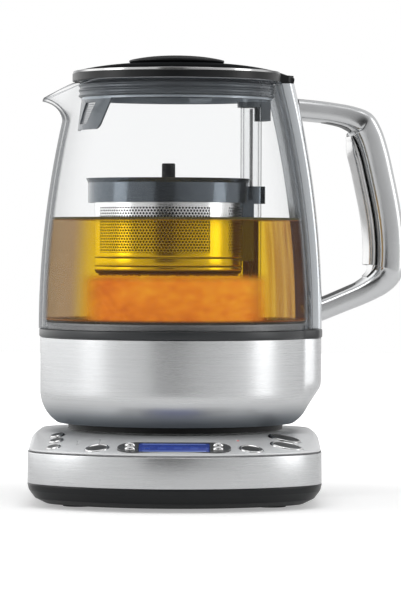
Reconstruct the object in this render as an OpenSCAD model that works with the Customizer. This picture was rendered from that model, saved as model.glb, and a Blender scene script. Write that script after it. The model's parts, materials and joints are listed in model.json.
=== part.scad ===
// Automatic tea maker: glass jug with a lifting tea basket on a cordless power base.
// The origin is the middle of the base's underside, below the jug's axis.
// The front with the controls faces -Y. Jug pieces are drawn with the handle along +X,
// then the whole jug is turned on its round connector.

/* [Power base] */
// Radius of the curved front and back corners, about the jug's axis
base_r = 104.5; // [100:0.5:112]
// Half of the width between the flattened sides
base_half_w = 85; // [80:0.5:92]
// Distance from the jug's axis to the flattened back
base_back = 92; // [84:0.5:98]
// Roundness of the corners: a higher number gives a tighter corner
corner_power = 26; // [16:2:40]
// Height of the black tray
tray_h = 13; // [10:0.5:16]
// Gap under the tray, bridged by the feet and the hub
foot_h = 1.5; // [1:0.1:2.5]
// Wall of the tray
tray_wall = 2.2; // [1.6:0.1:3]
// Radius of the flat hub under the tray
hub_r = 24; // [18:1:30]
// Height of the steel band
band_h = 17.8; // [14:0.2:22]
// Sheet of the steel band
band_wall = 1.2; // [0.8:0.1:1.6]
// Height of the shadow groove between band and panel
groove_h = 1; // [0.6:0.1:1.6]
// Radius where the panel starts to slope
plateau_r = 69; // [67:0.5:72]
// Rise from the panel's front edge to the plateau
panel_rise = 8.7; // [7:0.1:10]
// Wall of the panel
panel_wall = 2.2; // [1.6:0.1:2.8]
// Radius of a rubber foot
foot_r = 9; // [7:0.5:11]

/* [Controls] */
// Travel of a button
press = 1; // [0.6:0.1:1.4]
// Gap round a button in its hole
button_gap = 0.25; // [0.2:0.05:0.4]
// How far a button stands out of the panel
button_proud = 1; // [0.6:0.1:1.6]
// Width of a small oval button
small_w = 9; // [7:0.5:10]
// Depth of a small oval button
small_d = 11; // [9:0.5:12]
// Diameter of a round button
round_d = 14; // [11:0.5:15]
// Width of a large oval button
large_w = 19.5; // [16:0.5:21]
// Depth of a large oval button
large_d = 14.5; // [12:0.5:15.5]
// Length of the display's bezel
bezel_l = 64; // [60:1:66]
// Height of the display's bezel
bezel_w = 19; // [17:0.5:20]
// Length of the display window
window_l = 40; // [36:1:42]
// Width of a button beside the display
side_button_w = 6; // [5:0.5:6.5]
// Depth of a button beside the display
side_button_d = 4; // [3:0.5:4.5]

/* [Cord inlet] */
// Radius of the bore for the mains lead
cord_bore_r = 3.6; // [3:0.1:4.2]
// Length of the inlet bush
gland_l = 14; // [12:0.5:18]
// Height of the inlet above the table
gland_z = 22; // [20:0.5:23]

/* [Connector] */
// Radius of the base's round plug
plug_r = 13; // [11:0.5:15]
// Height of the plug above the panel
plug_h = 11; // [9:0.5:12]
// Gap between plug and socket
plug_gap = 0.4; // [0.3:0.1:0.8]

/* [Jug] */
// Turn of the jug on the base, in degrees
jug_turn = 15; // [0:1:30]
// Height of the black bottom rim
bottom_rim_h = 3.3; // [2.5:0.1:4]
// Radius of the black bottom rim
bottom_rim_r = 63; // [61:0.5:65]
// Radius of the steel shell
shell_r = 79.6; // [78.6:0.1:79.8]
// Height of the steel shell
shell_h = 50.4; // [46:0.2:56]
// Radius of the shell's rounded bottom corner
shell_corner = 22; // [18:0.5:24]
// Wall of the steel shell
shell_wall = 1.2; // [0.8:0.1:1.5]
// How far the boss below the handle stands out of the shell
bulge_proud = 6; // [4:0.2:8]
// Half of the boss's width at the shell, in degrees
bulge_foot_half = 36.6; // [32:0.2:40]
// Half of the boss's width at its face, in degrees
bulge_head_half = 29; // [24:0.5:32]
// Slope of the boss's underside, in degrees from the vertical
bulge_slope = 33; // [28:1:38]
// Height of the black seal ring
ring_h = 5; // [4:0.1:6]
// How far the seal ring stands out of the shell
ring_proud = 0.6; // [0.3:0.1:0.9]
// How far the foot of the glass stands out of the seal ring
glass_proud = 0.3; // [0:0.1:1]
// Height of the glass above the ring
glass_h = 144.5; // [140:0.5:150]
// Radius of the curve that narrows the glass upwards
glass_curve = 550; // [520:5:620]
// Wall of the glass
glass_wall = 2.5; // [2:0.1:3]
// Reach of the beak beyond the rim
beak_reach = 18.8; // [15:0.2:21]
// How far the rim dips at the beak
beak_dip = 12.5; // [8:0.5:13]
// Half of the beak's width, in degrees
beak_half = 30; // [24:1:34]
// Thickness of the steel floor plate
floor_t = 1.2; // [1:0.1:2]

/* [Handle] */
// Half of the width of the steel spine
spine_half_w = 18; // [15:0.5:19]
// Thickness of the spine at its foot
spine_foot_t = 6.6; // [5.5:0.1:7.4]
// Thickness of the spine at its head
spine_head_t = 8.3; // [7:0.1:9]
// Width of the handle's arms
arm_w = 20; // [16:0.5:22]
// Width of the grip
grip_w = 26; // [22:0.5:28]
// Thickness of the arms
arm_t = 12.6; // [11:0.2:14]
// Thickness of the metal part of the grip
grip_t = 17.6; // [15:0.2:19]
// Thickness of the strip inside the grip
insert_t = 4.6; // [3:0.2:5.4]

/* [Lift] */
// Distance of the clear post's axis inside the lid's skirt
post_inset = 11.8; // [11:0.1:13.4]
// Outer radius of the clear post
post_r = 6.2; // [5.6:0.1:6.4]
// Wall of the clear post
post_wall = 1.5; // [1.2:0.1:1.8]
// Height of the clear post above the floor plate
post_h = 128.8; // [124:0.2:130]
// Radius of the drive screw
screw_r = 1.2; // [1:0.1:1.6]
// Running gap of sliding fits
run_gap = 0.08; // [0.05:0.01:0.1]
// Length of the magnet nut
nut_l = 9; // [7:0.5:10]

/* [Basket] */
// Gap between the steel cup and the post
cup_gap = 0.75; // [0.5:0.05:3]
// Depth of the cup
cup_h = 47; // [42:0.5:50]
// Sheet of the cup
cup_wall = 0.6; // [0.5:0.1:1]
// Height of the cup's bottom above the floor plate, as photographed
cup_lift = 28; // [25:0.5:30]
// How far the collar's lip stands out of the cup
collar_reach = 5; // [4.2:0.1:5.4]
// Height of the collar
collar_h = 14.2; // [12:0.2:15]
// Distance of the basket's axis from the jug's axis, towards the beak
basket_shift = 4.75; // [4:0.05:5.5]
// Radius of the guide ring on the post
guide_r = 8.5; // [8:0.1:9]
// Height of the basket's knob
knob_h = 12; // [9:0.5:13]

/* [Lid] */
// How far the lid's rim stays inside the edge of the glass
lid_inset = 0.32; // [0.1:0.02:1]
// Height of the black lid rim
lid_rim_h = 4.2; // [3.4:0.1:5]
// Height of the chrome ring
trim_h = 2; // [1.5:0.1:2.6]
// Height of the lid's dome
dome_h = 5.6; // [4.5:0.1:6.5]
// Radius of the black disc on the lid
disc_r = 28; // [24:0.5:32]
// Height of the black disc
disc_h = 4.4; // [3.4:0.1:5]
// Gap between the lid and the glass
lid_gap = 0.35; // [0.3:0.05:0.6]
// Reach of the rim's tab over the spine
tab_reach = 69; // [68:0.5:70]
// Depth of the lid's skirt below the rim
skirt_h = 11; // [9:0.5:13]

/* [Hidden] */
$fn = 96;

eps = 0.01;
seat_gap = 0.1;
steps = 96;

// Heights of the base
band_z = tray_h;
band_top = band_z + band_h;
panel_z = band_top + groove_h;
plateau_z = panel_z + panel_rise;
tray_floor = foot_h + tray_wall;
panel_inset = 0.6;
side_top_inset = 3.6;
side_drop = 1;
side_front = -14;

// Slope of the panel's front
slope_run = base_r - panel_inset - plateau_r;
panel_tilt = atan(panel_rise / slope_run);

// Heights of the jug
seat_rise = 1.2;
jug_z = plateau_z + seat_rise + seat_gap;
shell_z = jug_z + bottom_rim_h;
ring_z = shell_z + shell_h;
glass_z = ring_z + ring_h;
rim_z = glass_z + glass_h;
floor_top = glass_z + 3.7;
floor_z = floor_top - floor_t;
ring_r = shell_r + ring_proud;
neck_r = ring_r - 1.6;
ring_lip = 6.6;
glass_r = ring_r + glass_proud;
rim_r = glass_out(glass_h);
skirt_gap = 1.62;
skirt_r = rim_r - glass_wall - skirt_gap;
bulge_r = shell_r + bulge_proud;
bulge_foot_z = shell_z + 24.5;
bulge_fillet = 8;
bulge_soften = 2.4;

// The lift
post_x = skirt_r - post_inset;
cup_r = post_x - post_r - cup_gap + basket_shift;
collar_r = cup_r + collar_reach;
post_top = floor_top + post_h;
post_foot = floor_z - 3;
cup_z = floor_top + cup_lift;
cup_top = cup_z + cup_h;
collar_z = cup_top - 5;
collar_top = collar_z + collar_h;
collar_body_r = collar_r - 1.2;
nut_z = collar_z + 0.8;
housing_z = collar_z - 34;
housing_half_w = 11;

// The lid
lid_z = rim_z + lid_gap;
trim_z = lid_z + lid_rim_h;
dome_z = trim_z + trim_h;
disc_z = dome_z + dome_h;
lid_r = rim_r - lid_inset;
skirt_wall = 2.2;
recess_z = lid_z - 1.2;

// Radius of the glass outside at a height above the ring
function glass_out(h) = glass_r - h * h / (2 * glass_curve);

// A rounded step from 0 to 1
function smooth(t) = let (u = max(0, min(1, t))) u * u * (3 - 2 * u);

// Plan of the base: a disc with flattened sides and back, and rounded corners
function base_radius(a, inset) =
    let (p = corner_power, side = (base_half_w - inset) / max(abs(cos(a)), eps),
         back = (base_back - inset) / max(sin(a), eps))
    pow(pow(base_r - inset, -p) + pow(side, -p) + pow(back, -p), -1 / p);
function base_plan(inset) =
    [for (i = [0 : steps - 1]) let (a = 360 * i / steps)
        base_radius(a, inset) * [cos(a), sin(a)]];

// Ellipse of full width w and full depth d
function oval(w, d, n = 48) = [for (i = [0 : n - 1]) [w / 2 * cos(360 * i / n), d / 2 * sin(360 * i / n)]];

// Bezel plan: a bar with elliptic ends
function eye(l, w, n = 12) =
    let (end = (l - window_l - 2) / 2, flat = l / 2 - end)
    concat([for (i = [0 : n]) let (a = -90 + 180 * i / n) [flat + end * cos(a), w / 2 * sin(a)]],
           [for (i = [0 : n]) let (a = 90 + 180 * i / n) [-flat + end * cos(a), w / 2 * sin(a)]]);

// Height of the panel's sloping front at a place
function panel_at(p) = plateau_z - max(0, norm(p) - plateau_r) * tan(panel_tilt);

// Closed skin over a list of rings that all have the same number of points
module loft(rings) {
    n = len(rings[0]);
    m = len(rings);
    sides = [for (i = [0 : m - 2], j = [0 : n - 1]) let (k = (j + 1) % n)
        each [[i * n + j, (i + 1) * n + k, (i + 1) * n + j], [i * n + j, i * n + k, (i + 1) * n + k]]];
    first = [for (j = [n - 1 : -1 : 0]) j];
    last = [for (j = [0 : n - 1]) (m - 1) * n + j];
    polyhedron([for (ring = rings) each ring], concat([first], sides, [last]), convexity = 6);
}

// Closed skin over a ring of rings, for a hollow body of revolution
module ring_loft(rings) {
    n = len(rings[0]);
    m = len(rings);
    sides = [for (i = [0 : m - 1], j = [0 : n - 1]) let (k = (j + 1) % n, q = (i + 1) % m)
        each [[i * n + j, q * n + k, q * n + j], [i * n + j, i * n + k, q * n + k]]];
    polyhedron([for (ring = rings) each ring], sides, convexity = 8);
}

module tube(r_out, r_in, h) {
    difference() {
        cylinder(r = r_out, h = h);
        translate([0, 0, -1]) cylinder(r = r_in, h = h + 2);
    }
}

// A screw pointing up, with its head at the bottom
module screw(shaft_r, head_r, head_h, length) {
    cylinder(r = head_r, h = head_h);
    cylinder(r = shaft_r, h = length);
}

// ---------------------------------------------------------------- power base

// A place on the base by its distance from the middle and from the front
function from_front(x, d) = [x, d - base_r];
// A place by its distance from the curved edge and its bearing
function from_edge(d, a) = (base_r - d) * [cos(a), sin(a)];

foot_spots = concat([for (a = [225, 315]) from_edge(27, a)],
    [for (x = [23 - base_half_w, base_half_w - 23]) [x, base_back - 28]]);
screw_spots = [for (s = [-1, 1]) each [[s * (base_half_w - 11), 12], [s * 48, base_back - 18]]];
board_posts = [[-34, -40], [34, -40], [-60, -20], [60, -20]];
board_z = 20;
board_t = 1.6;
power_z = 14;
boss_r = 4;
boss_split = 9;
base_screw_r = 1.5;
base_screw_l = 16;
base_head_r = 3;
foot_sunk = 1;

module base_tray() {
    color("#1b1c1e") difference() {
        union() {
            difference() {
                hull() {
                    translate([0, 0, foot_h]) linear_extrude(eps) polygon(base_plan(10));
                    translate([0, 0, foot_h + 3]) linear_extrude(eps) polygon(base_plan(4));
                    translate([0, 0, foot_h + 7.5]) linear_extrude(eps) polygon(base_plan(0.7));
                    translate([0, 0, tray_h - 1]) linear_extrude(1) polygon(base_plan(0));
                }
                translate([0, 0, tray_floor]) linear_extrude(tray_h) polygon(base_plan(11.5));
                translate([0, 0, foot_h + 7.5]) linear_extrude(tray_h) polygon(base_plan(3));
            }
            cylinder(r = hub_r, h = tray_floor);
            for (p = screw_spots) translate([p[0], p[1], foot_h])
                cylinder(r = boss_r, h = boss_split - foot_h);
            for (p = board_posts) translate([p[0], p[1], foot_h]) cylinder(r = 3, h = board_z - foot_h);
            for (x = [-30, 30], y = [40, 62])
                translate([x, y, foot_h]) cylinder(r = 3, h = power_z - foot_h);
        }
        for (p = foot_spots) translate([p[0], p[1], 0]) cylinder(r = foot_r + 0.05, h = foot_h + foot_sunk);
        for (p = screw_spots) translate([p[0], p[1], 0]) {
            cylinder(r = base_head_r + 0.2, h = foot_h + 2.6);
            cylinder(r = base_screw_r + 0.1, h = tray_h);
        }
    }
}

module base_feet() {
    color("#2a2a2a") for (p = foot_spots) translate([p[0], p[1], 0]) {
        cylinder(r = foot_r, h = foot_h + foot_sunk);
    }
}

module base_screws() {
    color("#8d9094") for (p = screw_spots) translate([p[0], p[1], foot_h + 0.8])
        screw(base_screw_r, base_head_r, 1.8, base_screw_l);
}

module base_band() {
    color("#c4c6c8") difference() {
        translate([0, 0, band_z]) linear_extrude(band_h) difference() {
            polygon(base_plan(0));
            polygon(base_plan(band_wall));
        }
        translate([0, 0, gland_z]) rotate([-90, 0, 0]) cylinder(r = cord_bore_r + 2.5, h = base_r * 2);
    }
}

// Outer or inner form of the panel: the round plateau falls to the plan's edge
module panel_form(inset, drop) {
    top = plateau_z - drop;
    hull() {
        translate([0, 0, top - 1]) cylinder(r = plateau_r, h = 1);
        translate([0, 0, panel_z]) linear_extrude(max(eps, 0.8 - drop))
            polygon(base_plan(panel_inset + inset));
        translate([0, 0, top - side_drop - 1]) linear_extrude(1) intersection() {
            polygon(base_plan(panel_inset + side_top_inset + inset));
            translate([-base_r, side_front]) square([2 * base_r, 2 * base_r]);
        }
        translate([0, 0, top - 4]) linear_extrude(1) intersection() {
            polygon(base_plan(panel_inset + 0.9 + inset));
            translate([-base_r, side_front - 6]) square([2 * base_r, 2 * base_r]);
        }
    }
}

// Brings a shape to a place on the panel, with +Z along the surface's normal
module on_panel(p) {
    translate([p[0], p[1], panel_at(p)]) rotate([0, 0, atan2(p[1], p[0])]) rotate([0, panel_tilt, 0])
        rotate([0, 0, -atan2(p[1], p[0])]) children();
}

// Each button: place, width, depth
left_back = [from_front(17.1 - base_half_w, 68.5), small_w, small_d];
left_middle = [from_front(17.1 - base_half_w, 53), small_w, small_d];
left_front = [from_edge(8.046, 224.412), small_w, small_d];
round_left = [from_front(-43.5, 20.5), round_d, round_d];
round_right = [from_front(43.4, 20), round_d, round_d];
oval_back = [from_front(base_half_w - 21.9, 57), large_w, large_d];
oval_front = [from_edge(12.705, -45.971), large_w, large_d];
panel_buttons = [left_back, left_middle, left_front, round_left, round_right, oval_back, oval_front];

display_at = from_front(0, 14.7);
side_button_x = window_l / 2 + 4.8;
side_button_y = 3.4;
side_buttons = [for (x = [-side_button_x, side_button_x], y = [side_button_y, -side_button_y]) [x, y]];
bezel_t = 5;
bezel_floor = 1.4;
display_proud = 0.5;

// Lamps: two columns of three, and the red one
lamp_columns = [from_front(-55.1, 39), from_front(-42.3, 34.5)];
lamp_pitch = 4.4;
red_lamp = from_front(36, 35.5);
lamp_r = 0.85;
lamp_spots = concat([for (c = lamp_columns, k = [-1 : 1]) [c[0], c[1] + k * lamp_pitch]], [red_lamp]);

// Brings a shape to the middle of the display, level with its surface
module on_display() {
    on_panel(display_at) children();
}

module base_panel() {
    color("#b9bcbf") difference() {
        union() {
            difference() {
                panel_form(0, 0);
                translate([0, 0, -eps]) panel_form(panel_wall, panel_wall);
                translate([0, 0, panel_z - 1]) linear_extrude(1.4)
                    polygon(base_plan(panel_inset + panel_wall));
            }
            translate([0, 0, band_top - 4]) linear_extrude(groove_h + 4.2) difference() {
                polygon(base_plan(band_wall + 0.3));
                polygon(base_plan(band_wall + 0.3 + panel_wall));
            }
            translate([0, 0, plateau_z - 1]) tube(56, 48, seat_rise + 1);
            for (p = screw_spots) translate([p[0], p[1], boss_split + seat_gap])
                cylinder(r = boss_r, h = plateau_z - side_drop - boss_split - 2);
            translate([0, 0, plateau_z - 6]) tube(plug_r + 5, plug_r + 3, 5);
        }
        for (b = panel_buttons) on_panel(b[0]) translate([0, 0, -8])
            linear_extrude(16) polygon(oval(b[1] + 2 * button_gap, b[2] + 2 * button_gap));
        on_display() translate([0, 0, -10]) linear_extrude(20) polygon(eye(bezel_l + 0.3, bezel_w + 0.3));
        for (b = panel_buttons) on_panel(b[0]) translate([0, 0, flange_z - 4])
            linear_extrude(5)
                polygon(oval(b[1] + flange_w + 2 * button_gap, b[2] + flange_w + 2 * button_gap));
        for (p = lamp_spots) translate([p[0], p[1], board_z]) cylinder(r = lamp_r + 0.05, h = 30);
        translate([0, 0, gland_z]) rotate([-90, 0, 0]) cylinder(r = cord_bore_r + 4.3, h = base_r);
        translate([0, 0, plateau_z - 10]) cylinder(r = plug_r + 3, h = 20);
        for (p = screw_spots) translate([p[0], p[1], 0]) cylinder(r = base_screw_r, h = foot_h + 18);
    }
}

module base_connector() {
    color("#26282a") difference() {
        union() {
            translate([0, 0, plateau_z - 4]) cylinder(r = plug_r, h = plug_h + 4);
            translate([0, 0, plateau_z - 4]) cylinder(r = plug_r + 2.9, h = 4);
            translate([0, 0, tray_floor]) cylinder(r = 9, h = plateau_z - tray_floor);
        }
        translate([0, 0, plateau_z - 1]) tube(plug_r - 3, plug_r - 5.5, plug_h + 2);
        translate([0, 0, plateau_z - 1]) cylinder(r = 3, h = plug_h + 2);
    }
}

// Sprung contacts: one ring blade and the middle pin
module contact_pins() {
    color("#c9a55a") translate([0, 0, plateau_z - 1]) {
        cylinder(r = 1.4, h = plug_h - 1);
        tube(plug_r - 3.8, plug_r - 4.7, plug_h - 1);
    }
}

board_half_w = base_half_w - 9;
board_back = 14;

module control_board() {
    color("#2f6b45") translate([0, 0, board_z]) linear_extrude(board_t) intersection() {
        polygon(base_plan(7));
        translate([-board_half_w, -base_r]) square([2 * board_half_w, base_r - board_back]);
    }
}

stem_l = 4.4;
flange_z = -panel_wall - 1.5;
flange_w = 1.6;
switch_gap = 0.3;

// Lowest point of a button's stem, in the row's frame
function stem_foot(p) = let (low = flange_z - 0.8 - stem_l, n = sin(panel_tilt))
    [p[0] * (1 + n * low / norm(p)), p[1] * (1 + n * low / norm(p)), panel_at(p) + low * cos(panel_tilt)];
function side_place(q) = let (t = panel_tilt, low = flange_z - 1.6 - stem_l)
    [q[0], display_at[1] + q[1] * cos(t) - low * sin(t),
        panel_at(display_at) + q[1] * sin(t) + low * cos(t)];

module tact_switches() {
    color("#50555a") {
        for (b = panel_buttons) let (s = stem_foot(b[0]))
            translate([s[0], s[1], board_z + board_t])
                cylinder(r = 3, h = s[2] - 0.9 - press - switch_gap - board_z - board_t);
        for (q = side_buttons) let (s = side_place(q))
            translate([s[0], s[1], board_z + board_t])
                cylinder(r = 1.7, h = s[2] - 0.7 - press - switch_gap - board_z - board_t);
    }
}

module lcd_module() {
    color("#202428") on_display() translate([0, 0, -bezel_t - 2.2])
        linear_extrude(2.1) square([window_l - 2, bezel_w - 1], center = true);
}

module lcd_lens() {
    color("#2c3fae") on_display() translate([0, 0, -bezel_t + bezel_floor])
        linear_extrude(bezel_t - bezel_floor + display_proud - 0.2)
            square([window_l, bezel_w - 3], center = true);
}

module lcd_bezel() {
    color("#3c4043") on_display() difference() {
        translate([0, 0, -bezel_t]) linear_extrude(bezel_t + display_proud) polygon(eye(bezel_l, bezel_w));
        translate([0, 0, -bezel_t + bezel_floor - 0.05]) linear_extrude(20)
            square([window_l + 0.1, bezel_w - 2.9], center = true);
        translate([0, 0, -10]) linear_extrude(20) square([window_l - 4, bezel_w - 6], center = true);
        for (q = side_buttons) translate([q[0], q[1], -10]) linear_extrude(20)
            polygon(oval(side_button_w + 2 * button_gap, side_button_d + 2 * button_gap));
    }
}

module indicator_lamps() {
    color("#1d2024") for (p = lamp_spots) translate([p[0], p[1], board_z + board_t])
        cylinder(r = lamp_r, h = panel_at(p) + 0.1 - board_z - board_t);
}

power_half_w = 36;
power_y = 36;
power_d = 32;
// Its tall parts: place and size
relay = [[-28, 42, 0], [19, 15, 15]];
supply = [[18, 40, 0], [14, 18, 12]];

module power_board() {
    color("#3a7a50") translate([-power_half_w, power_y, power_z]) cube([2 * power_half_w, power_d, board_t]);
    color("#23262a") translate([0, 0, power_z + board_t]) {
        translate(relay[0]) cube(relay[1]);
        translate([6, 50, 0]) cylinder(r = 6, h = 9);
        translate(supply[0]) cube(supply[1]);
    }
}

// The inlet bush: two collars grip the steel band
gland_y = base_back - gland_l + 3;
back_wall_y = base_radius(90, 0);
module cord_gland() {
    collar = cord_bore_r + 4;
    color("#1b1c1e") translate([0, gland_y, gland_z]) rotate([-90, 0, 0]) difference() {
        union() {
            cylinder(r = cord_bore_r + 2.4, h = gland_l);
            translate([0, 0, back_wall_y + 0.1 - gland_y]) cylinder(r = collar, h = 1.6);
            translate([0, 0, back_wall_y - band_wall - 1.8 - gland_y]) cylinder(r = collar, h = 1.6);
        }
        translate([0, 0, -1]) cylinder(r = cord_bore_r, h = gland_l + 2);
    }
}

// A button along the surface's normal: cap through the panel, flange below it, stem to its switch
module button(w, d, wall, cap) {
    hull() {
        translate([0, 0, -wall]) linear_extrude(wall + cap - 0.5) polygon(oval(w, d));
        translate([0, 0, cap - eps]) linear_extrude(eps) polygon(oval(w - 1.6, d - 1.6));
    }
    translate([0, 0, flange_z]) linear_extrude(-flange_z - wall + eps) polygon(oval(w, d));
    translate([0, 0, flange_z - 0.8]) linear_extrude(0.8) polygon(oval(w + flange_w, d + flange_w));
    translate([0, 0, flange_z - 0.8 - stem_l]) cylinder(r = min(2, d / 3), h = stem_l + 0.4);
}

module panel_button(b) {
    color("#6f7478") on_panel(b[0]) button(b[1], b[2], 1, button_proud);
}

module side_button(k) {
    q = side_buttons[k];
    low = -bezel_t - 1.4;
    color("#d4d6d8") on_display() translate([q[0], q[1], 0]) {
        translate([0, 0, low + 1]) linear_extrude(display_proud + 0.7 - low - 1)
            polygon(oval(side_button_w, side_button_d));
        translate([0, 0, low]) linear_extrude(1) polygon(oval(side_button_w + 0.8, side_button_d + 0.8));
        translate([0, 0, flange_z - 1.6 - stem_l])
            cylinder(r = 1.2, h = low - flange_z + 1.6 + stem_l + 0.1);
    }
}

module button_left_back() { panel_button(left_back); }
module button_left_middle() { panel_button(left_middle); }
module button_left_front() { panel_button(left_front); }
module button_round_left() { panel_button(round_left); }
module button_round_right() { panel_button(round_right); }
module button_oval_back() { panel_button(oval_back); }
module button_oval_front() { panel_button(oval_front); }
module button_left_up() { side_button(0); }
module button_left_down() { side_button(1); }
module button_right_up() { side_button(2); }
module button_right_down() { side_button(3); }

// ---------------------------------------------------------------------- jug

// All jug pieces stand turned on the base
module jug() {
    rotate([0, 0, jug_turn]) children();
}

socket_r = plug_r + plug_gap + 4.6;
socket_flange_r = socket_r + 3;
bottom_t = bottom_rim_h;

module jug_connector() {
    color("#2b2d30") jug() difference() {
        union() {
            translate([0, 0, jug_z + 0.6]) cylinder(r = socket_r, h = plug_h + 3);
            translate([0, 0, shell_z + 0.3]) cylinder(r = socket_flange_r, h = 2);
        }
        translate([0, 0, jug_z - 1]) cylinder(r = plug_r + plug_gap, h = plug_h + 1 - seat_rise + 0.5);
    }
}

bottom_screw_r = bottom_rim_r - 2.6;
shell_hole_r = bottom_rim_r - 5.2;
bottom_screws = [for (i = [0 : 3]) 45 + 90 * i];

module jug_bottom() {
    color("#161718") jug() difference() {
        translate([0, 0, jug_z]) cylinder(r = bottom_rim_r, h = bottom_t);
        translate([0, 0, jug_z - 1]) cylinder(r = socket_r + 0.3, h = bottom_t + 2);
        for (a = bottom_screws) rotate([0, 0, a]) translate([bottom_screw_r, 0, jug_z]) {
            translate([0, 0, -1]) cylinder(r = 1.55, h = 10);
            translate([0, 0, -1]) cylinder(r = 2.4, h = 2.6);
        }
    }
}

module jug_bottom_screws() {
    color("#8d9094") jug() for (a = bottom_screws)
        rotate([0, 0, a]) translate([bottom_screw_r, 0, jug_z + 0.3]) screw(1.5, 2.3, 1.3, 7);
}

// Profile of the round part of the shell, from the middle of its bottom to its top
corner_z = shell_z + sqrt(shell_corner * shell_corner - pow(bottom_rim_r + 5.8 - shell_r + shell_corner, 2));
function shell_profile(inset, top) =
    let (r = shell_r - inset, c = shell_corner - inset, x0 = shell_r - shell_corner,
         floor_h = shell_z + inset, a0 = asin((corner_z - floor_h) / c))
    concat([[0, floor_h]],
           [for (i = [0 : 12]) let (a = a0 * (1 - i / 12)) [x0 + c * cos(a), corner_z - c * sin(a)]],
           [[r, top], [0, top]]);

// Plan of the boss below the handle: side walls from the round shell out to its face
function on_circle(r, a) = r * [cos(a), sin(a)];
function unit(v) = v / norm(v);
function mirrored(list) = [for (i = [len(list) - 1 : -1 : 0]) [list[i][0], -list[i][1]]];
function bulge_plan(inset) =
    let (foot = on_circle(shell_r, bulge_foot_half), head = on_circle(bulge_r, bulge_head_half),
         bend = on_circle(bulge_r, bulge_head_half - bulge_soften), wall = unit(head - foot),
         knee = head - 0.45 * (head - foot), facet = unit(bend - knee),
         out = inset * unit([-wall[1], wall[0]]), half = [foot - 10 * wall - out, knee - out,
             bend + 12 * facet - inset * [-facet[1], facet[0]]])
    concat(half, mirrored(half));

// Profile of that boss: it slopes back into the shell's rounded corner
function bulge_profile(inset, top) =
    let (f = bulge_fillet - inset, c = [bulge_r - bulge_fillet, bulge_foot_z],
         end = c + f * on_circle(1, -bulge_slope) - 11 * [sin(bulge_slope), cos(bulge_slope)])
    concat([[0, end[1]], end], [for (i = [0 : 6]) c + on_circle(f, -bulge_slope * (1 - i / 6))],
           [[bulge_r - inset, top], [0, top]]);

module shell_form(inset, top) {
    rotate_extrude() polygon(shell_profile(inset, top));
    intersection() {
        rotate_extrude() polygon(bulge_profile(inset, top));
        translate([0, 0, shell_z]) linear_extrude(2 * shell_h) polygon(bulge_plan(inset));
    }
}

module jug_shell() {
    color("#c2c4c6") jug() difference() {
        shell_form(0, ring_z);
        shell_form(shell_wall, ring_z + 1);
        translate([0, 0, shell_z - 1]) cylinder(r = shell_hole_r, h = 4);
        for (a = bottom_screws) rotate([0, 0, a]) translate([bottom_screw_r, 0, shell_z - 1])
            cylinder(r = 1.5, h = 6);
    }
}

module jug_seal_ring() {
    color("#121314") jug() difference() {
        translate([0, 0, ring_z]) linear_extrude(ring_h) union() {
            circle(r = ring_r);
            intersection() {
                circle(r = bulge_r + ring_proud);
                polygon(bulge_plan(-ring_proud));
            }
        }
        translate([0, 0, ring_z + 1]) cylinder(r = neck_r + 0.1, h = ring_h);
        translate([0, 0, ring_z - 1]) cylinder(r = neck_r - ring_lip, h = ring_h);
    }
}

// The glass: heights of its rings above the seal ring, and the beak's own curve
glass_rows = 15;
beak_start = 0.84;
beak_foot = [glass_out(beak_start * glass_h), beak_start * glass_h];
beak_tip = [glass_out(glass_h) + beak_reach, glass_h - beak_dip];
beak_bend = [glass_out(glass_h) + 9, glass_h - 14];

function bezier(p, q, r, t) = (1 - t) * (1 - t) * p + 2 * t * (1 - t) * q + t * t * r;
function beak_share(a) =
    let (d = abs(a - 180)) d >= beak_half ? 0 : pow(0.5 + 0.5 * cos(180 * d / beak_half), 1.15);
function glass_point(a, t) =
    let (plain = [glass_out(t * glass_h), t * glass_h], s = (t - beak_start) / (1 - beak_start),
         beak = s <= 0 ? plain : bezier(beak_foot, beak_bend, beak_tip, s))
    plain + beak_share(a) * (beak - plain);
glass_steps = concat([for (i = [0 : 7]) beak_start * i / 8],
    [for (i = [0 : 7]) beak_start + (1 - beak_start) * i / 7]);

function glass_ring(a) =
    let (out = [for (t = glass_steps) glass_point(a, t)],
         in = [for (i = [len(glass_steps) - 1 : -1 : 0])
             let (b = beak_share(a) * smooth((glass_steps[i] - beak_start) / (1 - beak_start)))
             out[i] + glass_wall * [-1 + 0.72 * b, 0.69 * b]],
         neck = [[neck_r - glass_wall, 0], [neck_r - glass_wall, -3.6], [neck_r, -3.6], [neck_r, 0]])
    [for (p = concat(out, in, neck)) [p[0] * cos(a), p[0] * sin(a), glass_z + 0.1 + p[1]]];

module glass_jug() {
    color("#dfe6ea", 0.35) jug() ring_loft([for (i = [0 : 71]) glass_ring(5 * i)]);
}

plate_r = neck_r - glass_wall - 0.6;

module jug_floor() {
    color("#b4b7ba") jug() difference() {
        translate([0, 0, floor_z]) cylinder(r = glass_r - glass_wall - 0.5, h = floor_t);
        translate([post_x, 0, floor_z - 1]) cylinder(r = post_r + 0.1, h = floor_t + 2);
    }
    color("#b4b7ba") jug() translate([0, 0, ring_z + 1]) tube(plate_r, plate_r - 1.2, floor_z - ring_z - 1);
}

element_r = 4;
element_ring_r = post_x - 1.6;

module heating_element() {
    color("#8c8f92") jug() translate([0, 0, floor_z - element_r]) rotate([0, 0, 45])
        rotate_extrude(angle = 270) translate([element_ring_r, 0]) circle(r = element_r);
}

module temperature_sensor() {
    color("#c8b27a") jug() translate([0, 0, floor_z - 9]) cylinder(r = 3.5, h = 9);
}

motor_h = 30;
motor_z = post_foot - motor_h;

module lift_motor() {
    color("#5c6064") jug() translate([post_x, 0, motor_z]) difference() {
        union() {
            cylinder(r = 11.5, h = motor_h - 3);
            cylinder(r = 8, h = motor_h);
        }
        translate([0, 0, motor_h - 12]) cylinder(r = screw_r + run_gap, h = 20);
    }
}

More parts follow.
